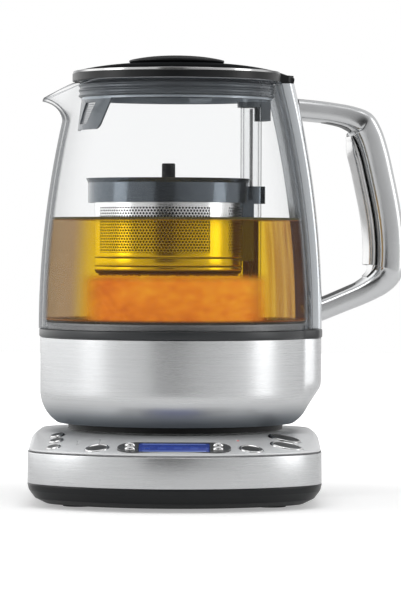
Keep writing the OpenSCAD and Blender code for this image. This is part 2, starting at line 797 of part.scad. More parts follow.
module lift_tube() {
    color("#e4eaee", 0.3) jug() translate([post_x, 0, post_foot]) difference() {
        cylinder(r = post_r, h = post_top - post_foot);
        translate([0, 0, -1]) cylinder(r = post_r - post_wall, h = post_top - post_foot - 1);
    }
}

module tube_seal() {
    color("#3a3c3e") jug() translate([post_x, 0, floor_top]) tube(post_r + 3.4, post_r + 0.05, 2.4);
}

module drive_screw() {
    color("#c9cbcd") jug() translate([post_x, 0, motor_z + motor_h - 11.5])
        cylinder(r = screw_r, h = post_top - 3 - motor_z - motor_h + 11.5);
}

module drive_nut() {
    color("#75787c") jug() translate([post_x, 0, nut_z])
        tube(post_r - post_wall - 0.3, screw_r + run_gap, nut_l);
}

// ------------------------------------------------------------------- handle

// Section of the spine at a height: a curved back against the glass and a rounded front
spine_top = glass_h + lid_gap - 0.7;
function spine_section(h, grow) =
    let (r = glass_out(h) + 0.3 - grow, w = spine_half_w + grow, n = 8,
         t = spine_foot_t + (spine_head_t - spine_foot_t) * h / glass_h + 2 * grow)
    concat([for (i = [0 : n]) let (y = -w + 2 * w * i / n) [sqrt(r * r - y * y), y]],
           [for (i = [0 : 2 * n]) let (a = 90 - 180 * i / (2 * n), y = w * sin(a),
               x = sqrt(r * r - y * y) + 0.6 + (t - 0.6) * pow(max(cos(a), 0), 0.55)
                   + (r - sqrt(r * r - y * y)) * 0.5)
               if (i > 0 && i < 2 * n) [x, y]]);

module spine_form(grow) {
    rows = 14;
    loft([for (i = [0 : rows]) let (h = spine_top * i / rows)
        [for (p = spine_section(h, grow)) [p[0], p[1], glass_z + h]]]);
}

// The handle: points on its outer edge, in shares of the seal ring's radius and the glass's height
edge_shares = [[0.8229, 0.9439], [1.0474, 0.9343], [1.197, 0.9253], [1.3466, 0.9114], [1.4713, 0.8844],
    [1.5486, 0.8228], [1.6047, 0.7343], [1.6496, 0.6325], [1.6958, 0.5149], [1.7244, 0.4076],
    [1.7332, 0.3003], [1.7157, 0.2138], [1.6297, 0.1536], [1.4776, 0.108], [1.2718, 0.0637],
    [1.1222, 0.0318], [0.9726, 0.0028]];
handle_edge = [for (p = edge_shares) [p[0] * ring_r, glass_z + p[1] * glass_h]];
// Share of the grip in each point: 0 on the arms, 1 on the grip
grip_share = [0, 0, 0, 0.25, 0.9, 1, 1, 1, 1, 1, 1, 1, 0.75, 0.2, 0, 0, 0];

function pick(list, i) = list[max(0, min(len(list) - 1, i))];
function through(list, u) =
    let (i = min(floor(u), len(list) - 2), t = u - i, a = pick(list, i - 1), b = pick(list, i),
         c = pick(list, i + 1), d = pick(list, i + 2))
    b + t * (c - a) / 2 + t * t * (a - 2.5 * b + 2 * c - d / 2) + t * t * t * (-a + 3 * b - 3 * c + d) / 2;
function edge_normal(u) =
    let (last = len(handle_edge) - 1,
         d = through(handle_edge, min(u + 0.05, last)) - through(handle_edge, max(u - 0.05, 0)))
    [-d[1], d[0]] / norm(d);

// One section of the handle between two depths below its outer edge
function handle_section(u, from, to, w, power, n = 20) =
    let (nrm = edge_normal(u), mid = through(handle_edge, u) - nrm * (from + to) / 2, half = (to - from) / 2)
    [for (i = [0 : n - 1]) let (a = 360 * i / n, c = cos(a), s = sin(a),
        d = half * sign(c) * pow(abs(c), power), y = w / 2 * sign(s) * pow(abs(s), power),
        q = mid + nrm * d)
        [q[0], y, q[1]]];

module handle_form() {
    last = len(handle_edge) - 1;
    rows = 56;
    loft([for (i = [0 : rows]) let (u = last * i / rows, g = through(grip_share, u))
        handle_section(u, 0, arm_t + (grip_t - arm_t) * g, arm_w + (grip_w - arm_w) * g, 0.55)]);
}

handle_screws_at = [[spine_top - 16, 8.5], [16, 8.5]];
handle_screw_r = 1.5;
handle_screw_l = 15;

module handle_screw_set(gap) {
    for (s = handle_screws_at) let (h = s[0], r = glass_out(h) + 0.9)
        translate([r, 0, glass_z + h]) rotate([0, 90, 0]) {
            cylinder(r = 3 + gap, h = 1.8 + gap);
            cylinder(r = handle_screw_r + gap, h = handle_screw_l + gap);
        }
}

module handle_spine() {
    color("#a9acaf") jug() difference() {
        spine_form(0);
        handle_screw_set(0.1);
        for (s = handle_screws_at) translate([glass_out(s[0]) - 3, 0, glass_z + s[0]]) rotate([0, 90, 0])
            cylinder(r = 3.1, h = 4);
    }
}

module handle() {
    color("#d2d4d6") jug() difference() {
        handle_form();
        spine_form(0.05);
        translate([0, 0, glass_z]) rotate_extrude() polygon(concat([[0, -30]], [[0, spine_top + 9]],
            [for (i = [16 : -1 : -2]) let (h = spine_top * i / 15) [glass_out(max(h, 0)) + 3, h]]));
        translate([0, 0, ring_z - ring_h]) cylinder(r = bulge_r + 14, h = 2 * ring_h + 0.2);
        handle_screw_set(0.1);
    }
}

insert_from = 3.9;
insert_to = 12.9;
insert_ends = [glass_z + 0.2104 * glass_h, glass_z + 0.7806 * glass_h];

// The strip lies in the grip's inner side, and its thin ends are cut level
module handle_insert() {
    rows = 34;
    color("#8f9397") jug() difference() {
        loft([for (i = [0 : rows])
            let (u = insert_from + (insert_to - insert_from) * i / rows, g = through(grip_share, u),
                 top = arm_t + (grip_t - arm_t) * g + 0.3,
                 e = smooth(4 * i / rows) * smooth(4 * (1 - i / rows)),
                 deep = 0.6 + (insert_t - 0.9) * e)
            handle_section(u, top, top + deep, (grip_w - 9) * (0.6 + 0.4 * e), 0.6, 14)]);
        translate([ring_r, -grip_w, insert_ends[1]]) cube([ring_r, 2 * grip_w, 20]);
        translate([ring_r, -grip_w, insert_ends[0] - 20]) cube([ring_r, 2 * grip_w, 20]);
    }
}

module handle_screws() {
    color("#8d9094") jug() handle_screw_set(0);
}

// ------------------------------------------------------------------- basket

module basket_place() {
    jug() translate([-basket_shift, 0, 0]) children();
}

flange_t = 0.6;
magnet_x = post_x - 4.2;
magnet_y = 8.6;
magnet_l = 24;

// The flat that the cup's flange and the basket's lid have where they pass the post
module post_flat() {
    jug() translate([post_x - post_r - 0.4, -20, cup_top - 1]) cube([20, 40, 30]);
}

module basket_collar() {
    ledge_r = cup_r + 0.2;
    color("#6c7074") difference() {
        union() {
            basket_place() rotate_extrude() polygon([[ledge_r, collar_z], [collar_body_r, collar_z],
                [collar_body_r, collar_top - 2.6], [collar_r, collar_top], [cup_r + 2.2, collar_top],
                [cup_r + 2.2, cup_top], [ledge_r, cup_top]]);
            jug() difference() {
                translate([post_x, 0, collar_z - 0.2]) cylinder(r = guide_r, h = 10.2);
                translate([-basket_shift, 0, collar_z - 2]) cylinder(r = collar_body_r - 0.5, h = 20);
            }
            jug() difference() {
                translate([0, 0, housing_z]) linear_extrude(collar_z + 2 - housing_z) difference() {
                    translate([30, -housing_half_w]) square([post_x - 1.2 - 30, 2 * housing_half_w]);
                    translate([-basket_shift, 0]) circle(r = cup_r + 0.25);
                }
                translate([post_x - 2, 0, housing_z - 1]) cylinder(r = post_r - 1, h = 200);
            }
        }
        jug() translate([post_x, 0, housing_z - 5]) cylinder(r = post_r + run_gap, h = 100);
        jug() for (y = [-magnet_y, magnet_y]) translate([magnet_x, y, housing_z + 3])
            cylinder(r = 1.55, h = magnet_l + 0.2);
    }
}

module carriage_magnets() {
    color("#9a9da0") jug() for (y = [-magnet_y, magnet_y]) translate([magnet_x, y, housing_z + 3.1])
        cylinder(r = 1.5, h = magnet_l);
}

module basket_cup() {
    r = cup_r;
    w = cup_wall;
    color("#b9bbbd") difference() {
        basket_place() rotate_extrude() polygon([[0, cup_z], [r - 3, cup_z],
            [r - 0.9, cup_z + 0.9], [r, cup_z + 3], [r, cup_top], [r + 2, cup_top],
            [r + 2, cup_top + flange_t], [r - w, cup_top + flange_t], [r - w, cup_z + 3.2],
            [r - w - 0.7, cup_z + 1.5],
            [r - 3.2, cup_z + w], [0, cup_z + w]]);
        post_flat();
    }
}

lid_plate_z = collar_top - 3;
knob_r = 3.95;

module basket_lid() {
    z0 = cup_top + flange_t + 0.05;
    color("#7b7f83") difference() {
        basket_place() rotate_extrude() polygon([[cup_r, z0], [cup_r + 2, z0],
            [cup_r + 2, lid_plate_z + 1.4], [cup_r - 2, lid_plate_z + 0.4], [cup_r - 5, lid_plate_z],
            [0, lid_plate_z], [0, lid_plate_z - 1.2], [cup_r, lid_plate_z - 1.2]]);
        post_flat();
    }
}

module basket_knob() {
    color("#101112") basket_place() translate([0, 0, lid_plate_z]) rotate_extrude()
        polygon([[0, 0], [knob_r, 0], [knob_r, knob_h - 0.6], [knob_r - 0.6, knob_h], [0, knob_h]]);
}

// ---------------------------------------------------------------------- lid

trim_r = lid_r - 1.2;
cover_wall = 1.5;
socket_in = post_r + 0.4;
socket_foot = post_top - 2.2;
lid_screw_r = 40;
lid_screw_angles = [60, 180, 300];

function dome(inset) = [for (i = [0 : 8]) let (t = i / 8, x = (trim_r - 0.4 - inset) * (1 - t))
    [x, dome_z + (dome_h - inset) * (1 - pow(x / (trim_r - 0.4 - inset), 2.3))]];

module lid_cover() {
    color("#4a4e52") jug() difference() {
        rotate_extrude() polygon(concat([[0, dome_z], [trim_r - 0.4, dome_z]], dome(0)));
        translate([0, 0, -eps]) rotate_extrude()
            polygon(concat([[0, dome_z - 1], [trim_r - 0.4 - cover_wall, dome_z - 1]], dome(cover_wall)));
    }
    color("#4a4e52") jug() for (a = lid_screw_angles) rotate([0, 0, a])
        translate([lid_screw_r, 0, dome_z - 2]) tube(3, 1.2, dome_h - 0.8);
}

module lid_trim_ring() {
    inner = trim_r - 8;
    color("#e2e4e6") jug() translate([0, 0, trim_z]) rotate_extrude() polygon([[inner, 0], [trim_r + 0.4, 0],
        [trim_r + 0.7, 0.6], [trim_r + 0.4, trim_h - 0.4], [trim_r - 0.2, trim_h], [inner, trim_h]]);
}

module lid_rim() {
    tab_half = 13;
    color("#0e0f10") jug() difference() {
        union() {
            translate([0, 0, lid_z]) cylinder(r = lid_r, h = lid_rim_h);
            translate([0, 0, lid_z]) linear_extrude(lid_rim_h) difference() {
                translate([50, -tab_half]) square([tab_reach - 50, 2 * tab_half]);
                for (s = [-1, 1]) translate([tab_reach, s * tab_half]) rotate([0, 0, 45])
                    square([6, 6], center = true);
            }
        }
        translate([0, 0, lid_z - 1]) cylinder(r = skirt_r + 0.1, h = lid_rim_h + 2);
        translate([tab_reach, 0, lid_z + lid_rim_h + 1.2]) rotate([0, 14, 0])
            translate([-10, -20, -0.6]) cube([40, 40, 10]);
    }
}

module lid_knob() {
    color("#141516") jug() translate([0, 0, disc_z]) rotate_extrude() polygon(concat(
        [[0, 0], [disc_r - 3, 0], [disc_r - 2.4, 0.7], [disc_r - 0.3, 1], [disc_r, 1.4]],
        [for (i = [0 : 8]) let (x = disc_r * (1 - i / 8))
            [x, 1.9 + (disc_h - 1.9) * (1 - pow(x / disc_r, 2.4))]]));
}

module lid_skirt() {
    color("#84888c") jug() difference() {
        union() {
            translate([0, 0, lid_z - skirt_h]) tube(skirt_r - 1.4, skirt_r - 1.4 - skirt_wall, skirt_h);
            translate([0, 0, lid_z - 1.2]) cylinder(r = skirt_r - 1.4, h = 1.8);
            translate([0, 0, lid_z - 0.2]) tube(skirt_r, skirt_r - 3.4, lid_rim_h + 0.2);
            translate([post_x, 0, socket_foot])
                cylinder(r = socket_in + 1.6, h = recess_z - socket_foot + 0.2);
            translate([skirt_r - 8, -7, lid_z - 22.5]) intersection() {
                cube([6.4, 14, 22]);
                translate([8 - skirt_r, 7, 0]) cylinder(r = skirt_r - 1.4, h = 30);
            }
        }
        translate([post_x, 0, lid_z - 30]) cylinder(r = socket_in, h = post_top + 0.6 - lid_z + 30);
        for (a = lid_screw_angles) rotate([0, 0, a])
            translate([lid_screw_r, 0, lid_z - 3]) cylinder(r = 1.3, h = 8);
    }
}

module lid_seal() {
    base = skirt_r - 1.35;
    wall = base + 0.8;
    lip = wall + 0.9;
    color("#9aa0a4") jug() rotate_extrude() polygon(concat([[base, lid_z - skirt_h + 1]],
        [for (k = [0 : 2]) let (z = lid_z - skirt_h + 1.4 + 3 * k)
            each [[wall, z], [lip, z + 0.7], [lip, z + 1.2], [wall, z + 1.9]]],
        [[base, lid_z - 0.5]]));
}

module spout_filter() {
    low = 18;
    narrow = 24;
    wide = 36.5;
    color("#a6aaad") jug() difference() {
        translate([0, 0, lid_z - skirt_h - low]) rotate([0, 0, 180 - wide])
            rotate_extrude(angle = 2 * wide) translate([skirt_r - 2.8, 0]) square([1.2, low]);
        for (s = [-1, 1]) rotate([0, 0, 180 + s * narrow])
            translate([skirt_r - 10, 0, lid_z - skirt_h - low])
                rotate([-s * 26, 0, 0]) translate([0, s > 0 ? 0 : -40, -30]) cube([20, 40, 60]);
    }
}

module lid_screws() {
    color("#8d9094") jug() for (a = lid_screw_angles) rotate([0, 0, a])
        translate([lid_screw_r, 0, recess_z - 1.2]) screw(1.15, 2.4, 1.2, dome_z + 2.4 - recess_z);
}

base_tray();
base_feet();
base_screws();
base_band();
base_panel();
base_connector();
contact_pins();
control_board();
tact_switches();
lcd_module();
lcd_lens();
lcd_bezel();
indicator_lamps();
power_board();
cord_gland();
button_left_back();
button_left_middle();
button_left_front();
button_round_left();
button_round_right();
button_oval_back();
button_oval_front();
button_left_up();
button_left_down();
button_right_up();
button_right_down();
jug_connector();
jug_bottom();
jug_bottom_screws();
jug_shell();
jug_seal_ring();
glass_jug();
jug_floor();
heating_element();
temperature_sensor();
lift_motor();
lift_tube();
tube_seal();
drive_screw();
drive_nut();
handle_spine();
handle();
handle_insert();
handle_screws();
basket_collar();
carriage_magnets();
basket_cup();
basket_lid();
basket_knob();
lid_cover();
lid_trim_ring();
lid_rim();
lid_knob();
lid_skirt();
lid_seal();
spout_filter();
lid_screws();
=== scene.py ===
import json
import math

import bmesh
import bpy
from mathutils import Matrix, Vector

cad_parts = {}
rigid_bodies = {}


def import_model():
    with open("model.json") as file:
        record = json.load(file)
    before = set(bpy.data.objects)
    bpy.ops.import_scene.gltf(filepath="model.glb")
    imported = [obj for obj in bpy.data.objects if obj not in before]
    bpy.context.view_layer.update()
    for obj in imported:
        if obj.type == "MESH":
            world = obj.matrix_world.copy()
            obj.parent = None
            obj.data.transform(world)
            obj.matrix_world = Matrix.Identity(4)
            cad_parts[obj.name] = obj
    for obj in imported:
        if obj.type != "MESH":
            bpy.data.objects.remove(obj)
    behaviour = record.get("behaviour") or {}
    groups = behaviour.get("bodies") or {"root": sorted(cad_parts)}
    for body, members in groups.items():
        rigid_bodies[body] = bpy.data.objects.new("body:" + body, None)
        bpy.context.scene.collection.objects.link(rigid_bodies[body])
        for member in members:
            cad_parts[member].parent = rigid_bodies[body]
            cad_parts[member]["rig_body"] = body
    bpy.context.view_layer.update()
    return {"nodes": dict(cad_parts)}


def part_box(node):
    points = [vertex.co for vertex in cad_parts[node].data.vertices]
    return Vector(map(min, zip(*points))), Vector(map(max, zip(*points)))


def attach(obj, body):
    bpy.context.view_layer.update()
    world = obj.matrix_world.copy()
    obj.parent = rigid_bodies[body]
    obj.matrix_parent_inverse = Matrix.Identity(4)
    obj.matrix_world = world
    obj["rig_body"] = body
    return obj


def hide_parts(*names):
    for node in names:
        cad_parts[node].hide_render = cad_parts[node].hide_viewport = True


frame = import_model()


# ---- Tools ----------------------------------------------------------------
# Materials and geometry trees are built from wires that take arithmetic, and pieces from rings of
# points. Lengths are in metres, and angles run from the X axis.

class Wire:
    """A value on its way through a node tree. Arithmetic on it adds Math nodes."""

    def __init__(self, tree, socket):
        self.tree = tree
        self.socket = socket

    def other(self, name):
        """Another output of the node that this value comes from."""
        return Wire(self.tree, self.socket.node.outputs[name])

    def worked(self, operation, *values):
        made = self.tree.nodes.new("ShaderNodeMath")
        made.operation = operation
        for place, value in enumerate(values):
            join(self.tree, value, made.inputs[place])
        return Wire(self.tree, made.outputs[0])

    def math(self, operation, *others):
        return self.worked(operation, self, *others)

    def __pow__(self, power):
        return self.math("POWER", power)

    def __gt__(self, limit):
        return self.math("GREATER_THAN", limit)

    def size(self):
        return self.math("ABSOLUTE")

    def rise(self, low, high):
        """0 below low, 1 above high, and a soft step between."""
        step = self.tree.nodes.new("ShaderNodeMapRange")
        step.interpolation_type = "SMOOTHSTEP"
        for name, value in (("Value", self), ("From Min", low), ("From Max", high)):
            join(self.tree, value, step.inputs[name])
        return Wire(self.tree, step.outputs[0])


for word, operation in (("add", "ADD"), ("sub", "SUBTRACT"), ("mul", "MULTIPLY"), ("truediv", "DIVIDE")):
    setattr(Wire, f"__{word}__", lambda one, two, how=operation: one.worked(how, one, two))
    setattr(Wire, f"__r{word}__", lambda one, two, how=operation: one.worked(how, two, one))


def join(tree, value, socket):
    """Sets a socket to a number or colour, or links it to a wire."""
    if isinstance(value, Wire):
        tree.links.new(value.socket, socket)
    else:
        socket.default_value = value


class Nodes:
    """A node tree that its node method adds to."""

    prefix = "ShaderNode"

    def __init__(self, tree):
        self.tree = tree

    def node(self, kind, settings=None, sockets=None, out=0):
        """Adds any node: its settings first, then the values or wires of its sockets."""
        made = self.tree.nodes.new(kind if "Node" in kind else self.prefix + kind)
        for name, value in (settings or {}).items():
            if name == "stops":
                while len(made.color_ramp.elements) < len(value):
                    made.color_ramp.elements.new(0.5)
                for element, (position, colour) in zip(made.color_ramp.elements, value):
                    element.position = position
                    element.color = (*colour, 1)
            else:
                setattr(made, name, value)
        for name, value in (sockets or {}).items():
            join(self.tree, value, made.inputs[name])
        return Wire(self.tree, made.outputs[out])


class Finish(Nodes):
    """One of the tea maker's finishes: a Principled shader and what varies over its surface."""

    def __init__(self, name, **sockets):
        self.material = bpy.data.materials.new(name)
        self.material.use_nodes = True
        super().__init__(self.material.node_tree)
        self.shader = self.tree.nodes["Principled BSDF"]
        self.set(**sockets)

    def set(self, **sockets):
        for name, value in sockets.items():
            join(self.tree, value, self.shader.inputs[name.replace("_", " ")])
        return self

    def surface(self, colour, roughness, *swings, **sockets):
        """Sets colour and roughness. A swing is a noise, and how far it moves the roughness."""
        for noise, reach in swings:
            roughness = roughness + reach * (noise - 0.5)
        return self.set(Base_Color=colour, Roughness=roughness, **sockets)

    def pass_light(self, colour, share):
        """Light of a colour passes straight through, but for a share of the surface."""
        straight = self.node("BsdfTransparent", sockets={"Color": colour})
        mixed = self.node("MixShader", sockets={
            0: share, 1: straight, 2: Wire(self.tree, self.shader.outputs[0])})
        self.tree.links.new(mixed.socket, self.tree.nodes["Material Output"].inputs["Surface"])
        return self

    def facing(self):
        """0 where the surface faces the eye, and 1 where it is seen from its edge."""
        return self.node("LayerWeight", sockets={"Blend": 0.5}, out="Facing")

    def place(self):
        return self.node("TexCoord", out="Object")

    def axis(self, name):
        """One coordinate of the surface, in metres."""
        return self.node("SeparateXYZ", sockets={0: self.place()}, out=name)

    def along(self, out="X"):
        """The piece's own UV map: X runs round it and Y up it, in metres."""
        return self.node("SeparateXYZ", sockets={0: self.node("UVMap")}, out=out)

    def noise(self, scale, stretch=(1, 1, 1), detail=3, of=None, roughness=0.5):
        spot = self.node("Mapping", sockets={"Vector": of or self.place(), "Scale": stretch})
        return self.node("TexNoise", sockets={"Vector": spot, "Scale": scale, "Detail": detail,
                                              "Roughness": roughness})

    def blend(self, share, first, second, kind="MIX"):
        """A colour between two colours."""
        return self.node("Mix", {"data_type": "RGBA", "blend_type": kind},
                         {0: share, 6: first, 7: second}, out=2)

    def shades(self, value, *stops):
        return self.node("ValToRGB", {"stops": stops}, {0: value})

    def relief(self, height, depth, strength=1.0):
        """Raises the surface by a height from 0 to 1 times a depth in metres."""
        bump = self.node("Bump", sockets={"Height": height, "Distance": depth, "Strength": strength})
        return self.set(Normal=bump)


def grey(level, tint=0.0):
    """A grey, cooler with a higher tint."""
    return (level * (1 - tint), level, level * (1 + tint), 1)


def moulding(name, level, roughness=0.42, tint=0.03, grain=900, **sockets):
    """Moulded plastic: a fine grain, slow variation of its shine, and a trace of dust."""
    made = Finish(name, IOR=1.49, Coat_Roughness=0.15, **sockets)
    slow = made.noise(18, detail=2)
    fine = made.noise(grain, detail=2)
    made.surface(made.blend(slow, grey(level * 0.9, tint), grey(level * 1.14 + 0.002, tint)),
                 roughness, (slow, 0.16), (fine, 0.08))
    return made.relief(fine, 0.00004, 0.55)


def linked(name, data):
    """A new object in the scene."""
    made = bpy.data.objects.new(name, data)
    bpy.context.scene.collection.objects.link(made)
    return made


def reshaped(thing, *changes):
    """Runs changes on a piece's mesh."""
    work = bmesh.new()
    work.from_mesh(thing.data)
    for change in changes:
        change(work)
    work.to_mesh(thing.data)
    work.free()
    return thing


def outwards(work):
    bmesh.ops.recalc_face_normals(work, faces=work.faces)


def shaded(thing, crease=32):
    """Shades a piece smooth between its creases."""
    for face in thing.data.polygons:
        face.use_smooth = True
    thing.data.set_sharp_from_angle(angle=math.radians(crease))
    return thing


def painted(thing, finish):
    """Gives a piece one finish."""
    thing.data.materials.clear()
    thing.data.materials.append(finish.material)
    return thing


def sheet_of(name, rings, caps=True, closed=True, loop=False):
    """A skin over rings of points, with a UV map in metres: X along a ring and Y across them.

    closed joins each ring's ends, loop joins the last ring to the first, caps fills the end rings.
    """
    mesh = bpy.data.meshes.new(name)
    count = len(rings[0])
    points = [p for ring in rings for p in ring]
    across = [0.0]
    for ring, after in zip(rings, rings[1:] + rings[:1]):
        across.append(across[-1] + max(math.dist(ring[0], after[0]), 1e-6))
    rows = [[0.0] for ring in rings]
    for row, ring in zip(rows, rings):
        for here, there in zip(ring, ring[1:] + ring[:1]):
            row.append(row[-1] + math.dist(here, there))
    faces = []
    marks = []
    for r in range(len(rings) if loop else len(rings) - 1):
        s = (r + 1) % len(rings)
        for k in range(count if closed else count - 1):
            j = (k + 1) % count
            faces.append((r * count + k, r * count + j, s * count + j, s * count + k))
            marks.append([(rows[r][k], across[r]), (rows[r][k + 1], across[r]),
                          (rows[s][k + 1], across[r + 1]), (rows[s][k], across[r + 1])])
    if caps and not loop:
        faces.append(tuple(reversed(range(count))))
        marks.append([(p[0], p[1]) for p in reversed(rings[0])])
        first = (len(rings) - 1) * count
        faces.append(tuple(range(first, first + count)))
        marks.append([(p[0], p[1]) for p in rings[-1]])
    mesh.from_pydata(points, [], faces)
    layer = mesh.uv_layers.new(name="UVMap")
    layer.data.foreach_set("uv", [v for face in marks for mark in face for v in mark])
    return shaded(reshaped(linked(name, mesh), lambda work: bmesh.ops.remove_doubles(
        work, verts=work.verts, dist=1e-7), outwards))


def rounded(profile, radius, steps=4, closed=False):
    """A profile with its corners rounded; a point may carry its own radius as a third number."""
    result = []
    last = len(profile) - 1
    for k, point in enumerate(profile):
        own = point[2] if len(point) > 2 else radius
        here = Vector(point[:2])
        if own <= 0 or (not closed and k in (0, last)):
            result.append(tuple(here))
            continue
        before = Vector(profile[k - 1][:2]) - here
        after = Vector(profile[(k + 1) % len(profile)][:2]) - here
        turn = before.angle(after)
        if turn > math.radians(178):
            result.append(tuple(here))
            continue
        reach = min(own / math.tan(turn / 2), before.length * 0.48, after.length * 0.48)
        start = here + before.normalized() * reach
        end = here + after.normalized() * reach
        for i in range(steps + 1):
            t = i / steps
            result.append(tuple((1 - t) ** 2 * start + 2 * t * (1 - t) * here + t * t * end))
    return result


def polar(r, a, z):
    return (r * math.cos(a), r * math.sin(a), z)


def round_ring(radius, z, parts):
    """A ring of points at a height. Its radius is a number, or a function of the angle."""
    turns = [2 * math.pi * k / parts for k in range(parts)]
    return [polar(radius(a) if callable(radius) else radius, a, z) for a in turns]


# ---- Base tray ------------------------------------------------------------
# The black tray carries everything in the base. It is moulded in a hard matt plastic, with a
# finely grained skin, and its rounded underside keeps it off the table but for hub and feet.

# Plan of the base: a disc with flattened sides and back, and rounded corners
BASE_R = 0.1045
BASE_HALF_W = 0.085
BASE_BACK = 0.092
CORNER_POWER = 26
PLAN_POINTS = 240


def base_ring(inset, z):
    def radius(a):
        side = (BASE_HALF_W - inset) / max(abs(math.cos(a)), 1e-5)
        back = (BASE_BACK - inset) / max(math.sin(a), 1e-5)
        return sum(d ** -CORNER_POWER for d in (BASE_R - inset, side, back)) ** (-1 / CORNER_POWER)

    return round_ring(radius, z, PLAN_POINTS)


def base_skin(name, stations, radius, loop=False):
    """A piece of the base from stations of inset and height, with rounded corners."""
    rings = [base_ring(inset, z) for inset, z in rounded(stations, radius, closed=loop)]
    return sheet_of(name, rings, loop=loop)


black_moulding = moulding("black moulding", 0.008, roughness=0.32, tint=0.12, Specular_IOR_Level=0.3)

TRAY_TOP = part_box("base_band")[0].z
FOOT_H = 0.0015
HUB_R = 0.024
HUB_H = 0.0034
tray = base_skin("tray_shell", [
    (0.0100, FOOT_H), (0.0040, 0.0045), (0.0007, 0.0090), (0, TRAY_TOP - 0.0012), (0, TRAY_TOP),
    (0.0030, TRAY_TOP), (0.0030, 0.0092), (0.0115, 0.0037)], 0.0014)
painted(tray, black_moulding)


def lathe(name, profile, parts=144, loop=False, start=0.0, sweep=2 * math.pi):
    """A turned piece from a profile of radius and height, with a UV map in metres."""
    whole = sweep > 2 * math.pi - 1e-6
    count = parts if whole else parts + 1
    angles = [start + sweep * k / parts for k in range(count)]
    rings = [[polar(r, a, z) for a in angles] for r, z in profile]
    return sheet_of(name, rings, caps=not loop, closed=whole, loop=loop)


def merged(name, *things):
    """Joins finished meshes into one piece."""
    work = bmesh.new()
    work.loops.layers.uv.new("UVMap")
    for thing in things:
        work.from_mesh(thing.data)
    mesh = bpy.data.meshes.new(name)
    work.to_mesh(mesh)
    work.free()
    for material in things[0].data.materials:
        mesh.materials.append(material)
    for thing in things:
        bpy.data.objects.remove(thing)
    return shaded(linked(name, mesh))


def seat(thing, body, slot, *nodes):
    """Lets a finished piece ride on its body, and stand for the plain solids it dresses."""
    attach(thing, body)
    if nodes:
        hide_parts(*nodes)
    return thing


hub_profile = rounded([(0, 0), (HUB_R, 0), (HUB_R, HUB_H), (0, HUB_H)], 0.0006)
hub = painted(lathe("tray_hub", hub_profile), black_moulding)
seat(merged("base_tray_dressed", tray, hub), "base", "black_plastic", "base_tray")


# ---- Feet and screws under the base ---------------------------------------
# Four rubber feet are pressed into pockets of the tray, and four plated screws with crossed
# heads draw the tray up to the bosses of the panel. The feet stay as the solid, with their finish; the screws
# are grown anew in its place.

def coat(finish, *nodes):
    """Gives solids that keep their own shape a finish."""
    for node in nodes:
        for place in frame["nodes"][node].material_slots:
            place.material = finish.material


rubber = moulding("foot rubber", 0.03, roughness=0.78, grain=1500)
coat(rubber, "base_feet")


def plated(name, level=0.42, roughness=0.3):
    """Plated or turned metal, with fine turning marks and duller patches."""
    made = Finish(name, Metallic=1.0)
    slow = made.noise(90)
    fine = made.noise(2600, stretch=(1, 1, 0.1))
    made.surface(made.blend(slow, grey(level * 0.8), grey(level * 1.15)), roughness,
                 (slow, 0.15), (fine, 0.1))
    return made.relief(fine, 0.00002, 0.5)


plated_steel = plated("plated steel")


class Bench(Nodes):
    """A tree of Geometry Nodes. Between its first input, a mesh, and its last, a finish, it takes
    the named ones, whose wires it gives by name."""

    prefix = "GeometryNode"

    def __init__(self, name, **inputs):
        super().__init__(bpy.data.node_groups.new(name, "GeometryNodeTree"))
        kinds = {label: "Float" if isinstance(value, float) else "Int" for label, value in inputs.items()}
        for label, kind in {"Geometry": "Geometry", **kinds, "Finish": "Material"}.items():
            socket = self.tree.interface.new_socket(label, in_out="INPUT", socket_type="NodeSocket" + kind)
            if label in inputs:
                socket.default_value = inputs[label]
        self.tree.interface.new_socket("Geometry", in_out="OUTPUT", socket_type="NodeSocketGeometry")
        self.given = self.tree.nodes.new("NodeGroupInput")

    def __getitem__(self, label):
        return Wire(self.tree, self.given.outputs[label])

    def xyz(self, **axes):
        return self.node("ShaderNodeCombineXYZ", sockets=axes)

    def moved(self, geometry, **axes):
        return self.node("Transform", sockets={"Geometry": geometry, "Translation": self.xyz(**axes)})

    def placed(self, geometry, x, y, z=0.0):
        """A geometry with every point set to a new place."""
        return self.node("SetPosition", sockets={"Geometry": geometry, "Position": self.xyz(X=x, Y=y, Z=z)})

    def together(self, *geometries):
        whole = self.node("JoinGeometry")
        for geometry in geometries:
            self.tree.links.new(geometry.socket, whole.socket.node.inputs[0])
        return whole

    def rod(self, vertices, radius):
        """A cylinder as long as the input Length, about the origin."""
        return self.node("MeshCylinder", sockets={
            "Vertices": vertices, "Side Segments": 1, "Radius": radius, "Depth": self["Length"]})

    def welded(self, geometry, distance):
        return self.node("MergeByDistance", sockets={"Geometry": geometry, "Distance": distance})

    def close(self, geometry):
        """Ends the tree as a plain mesh with its finish."""
        real = self.node("RealizeInstances", sockets={0: geometry})
        done = self.node("SetMaterial", sockets={"Geometry": real, "Material": self["Finish"]})
        self.tree.links.new(done.socket, self.tree.nodes.new("NodeGroupOutput").inputs[0])
        return self.tree

    def close_on_points(self, geometry, **sockets):
        """Ends the tree with the geometry on every point of its first input."""
        return self.close(self.node("InstanceOnPoints", sockets={
            "Points": self["Geometry"], "Instance": geometry, **sockets}))


def grown(name, group, finish, start=None, **values):
    """Runs a geometry tree on a start mesh, with its inputs by name, and keeps the plain result."""
    holder = linked(name + "_holder", start or bpy.data.meshes.new(name + "_start"))
    modifier = holder.modifiers.new("tree", "NODES")
    modifier.node_group = group
    values["Finish"] = finish.material
    for item in group.interface.items_tree:
        if item.in_out == "INPUT" and item.name in values:
            modifier[item.identifier] = values[item.name]
    ready = holder.evaluated_get(bpy.context.evaluated_depsgraph_get())
    result = bpy.data.meshes.new_from_object(ready)
    bpy.data.objects.remove(holder)
    result.name = name
    made = painted(linked(name, result), finish)
    for face in result.polygons:
        face.material_index = 0
    return shaded(made)


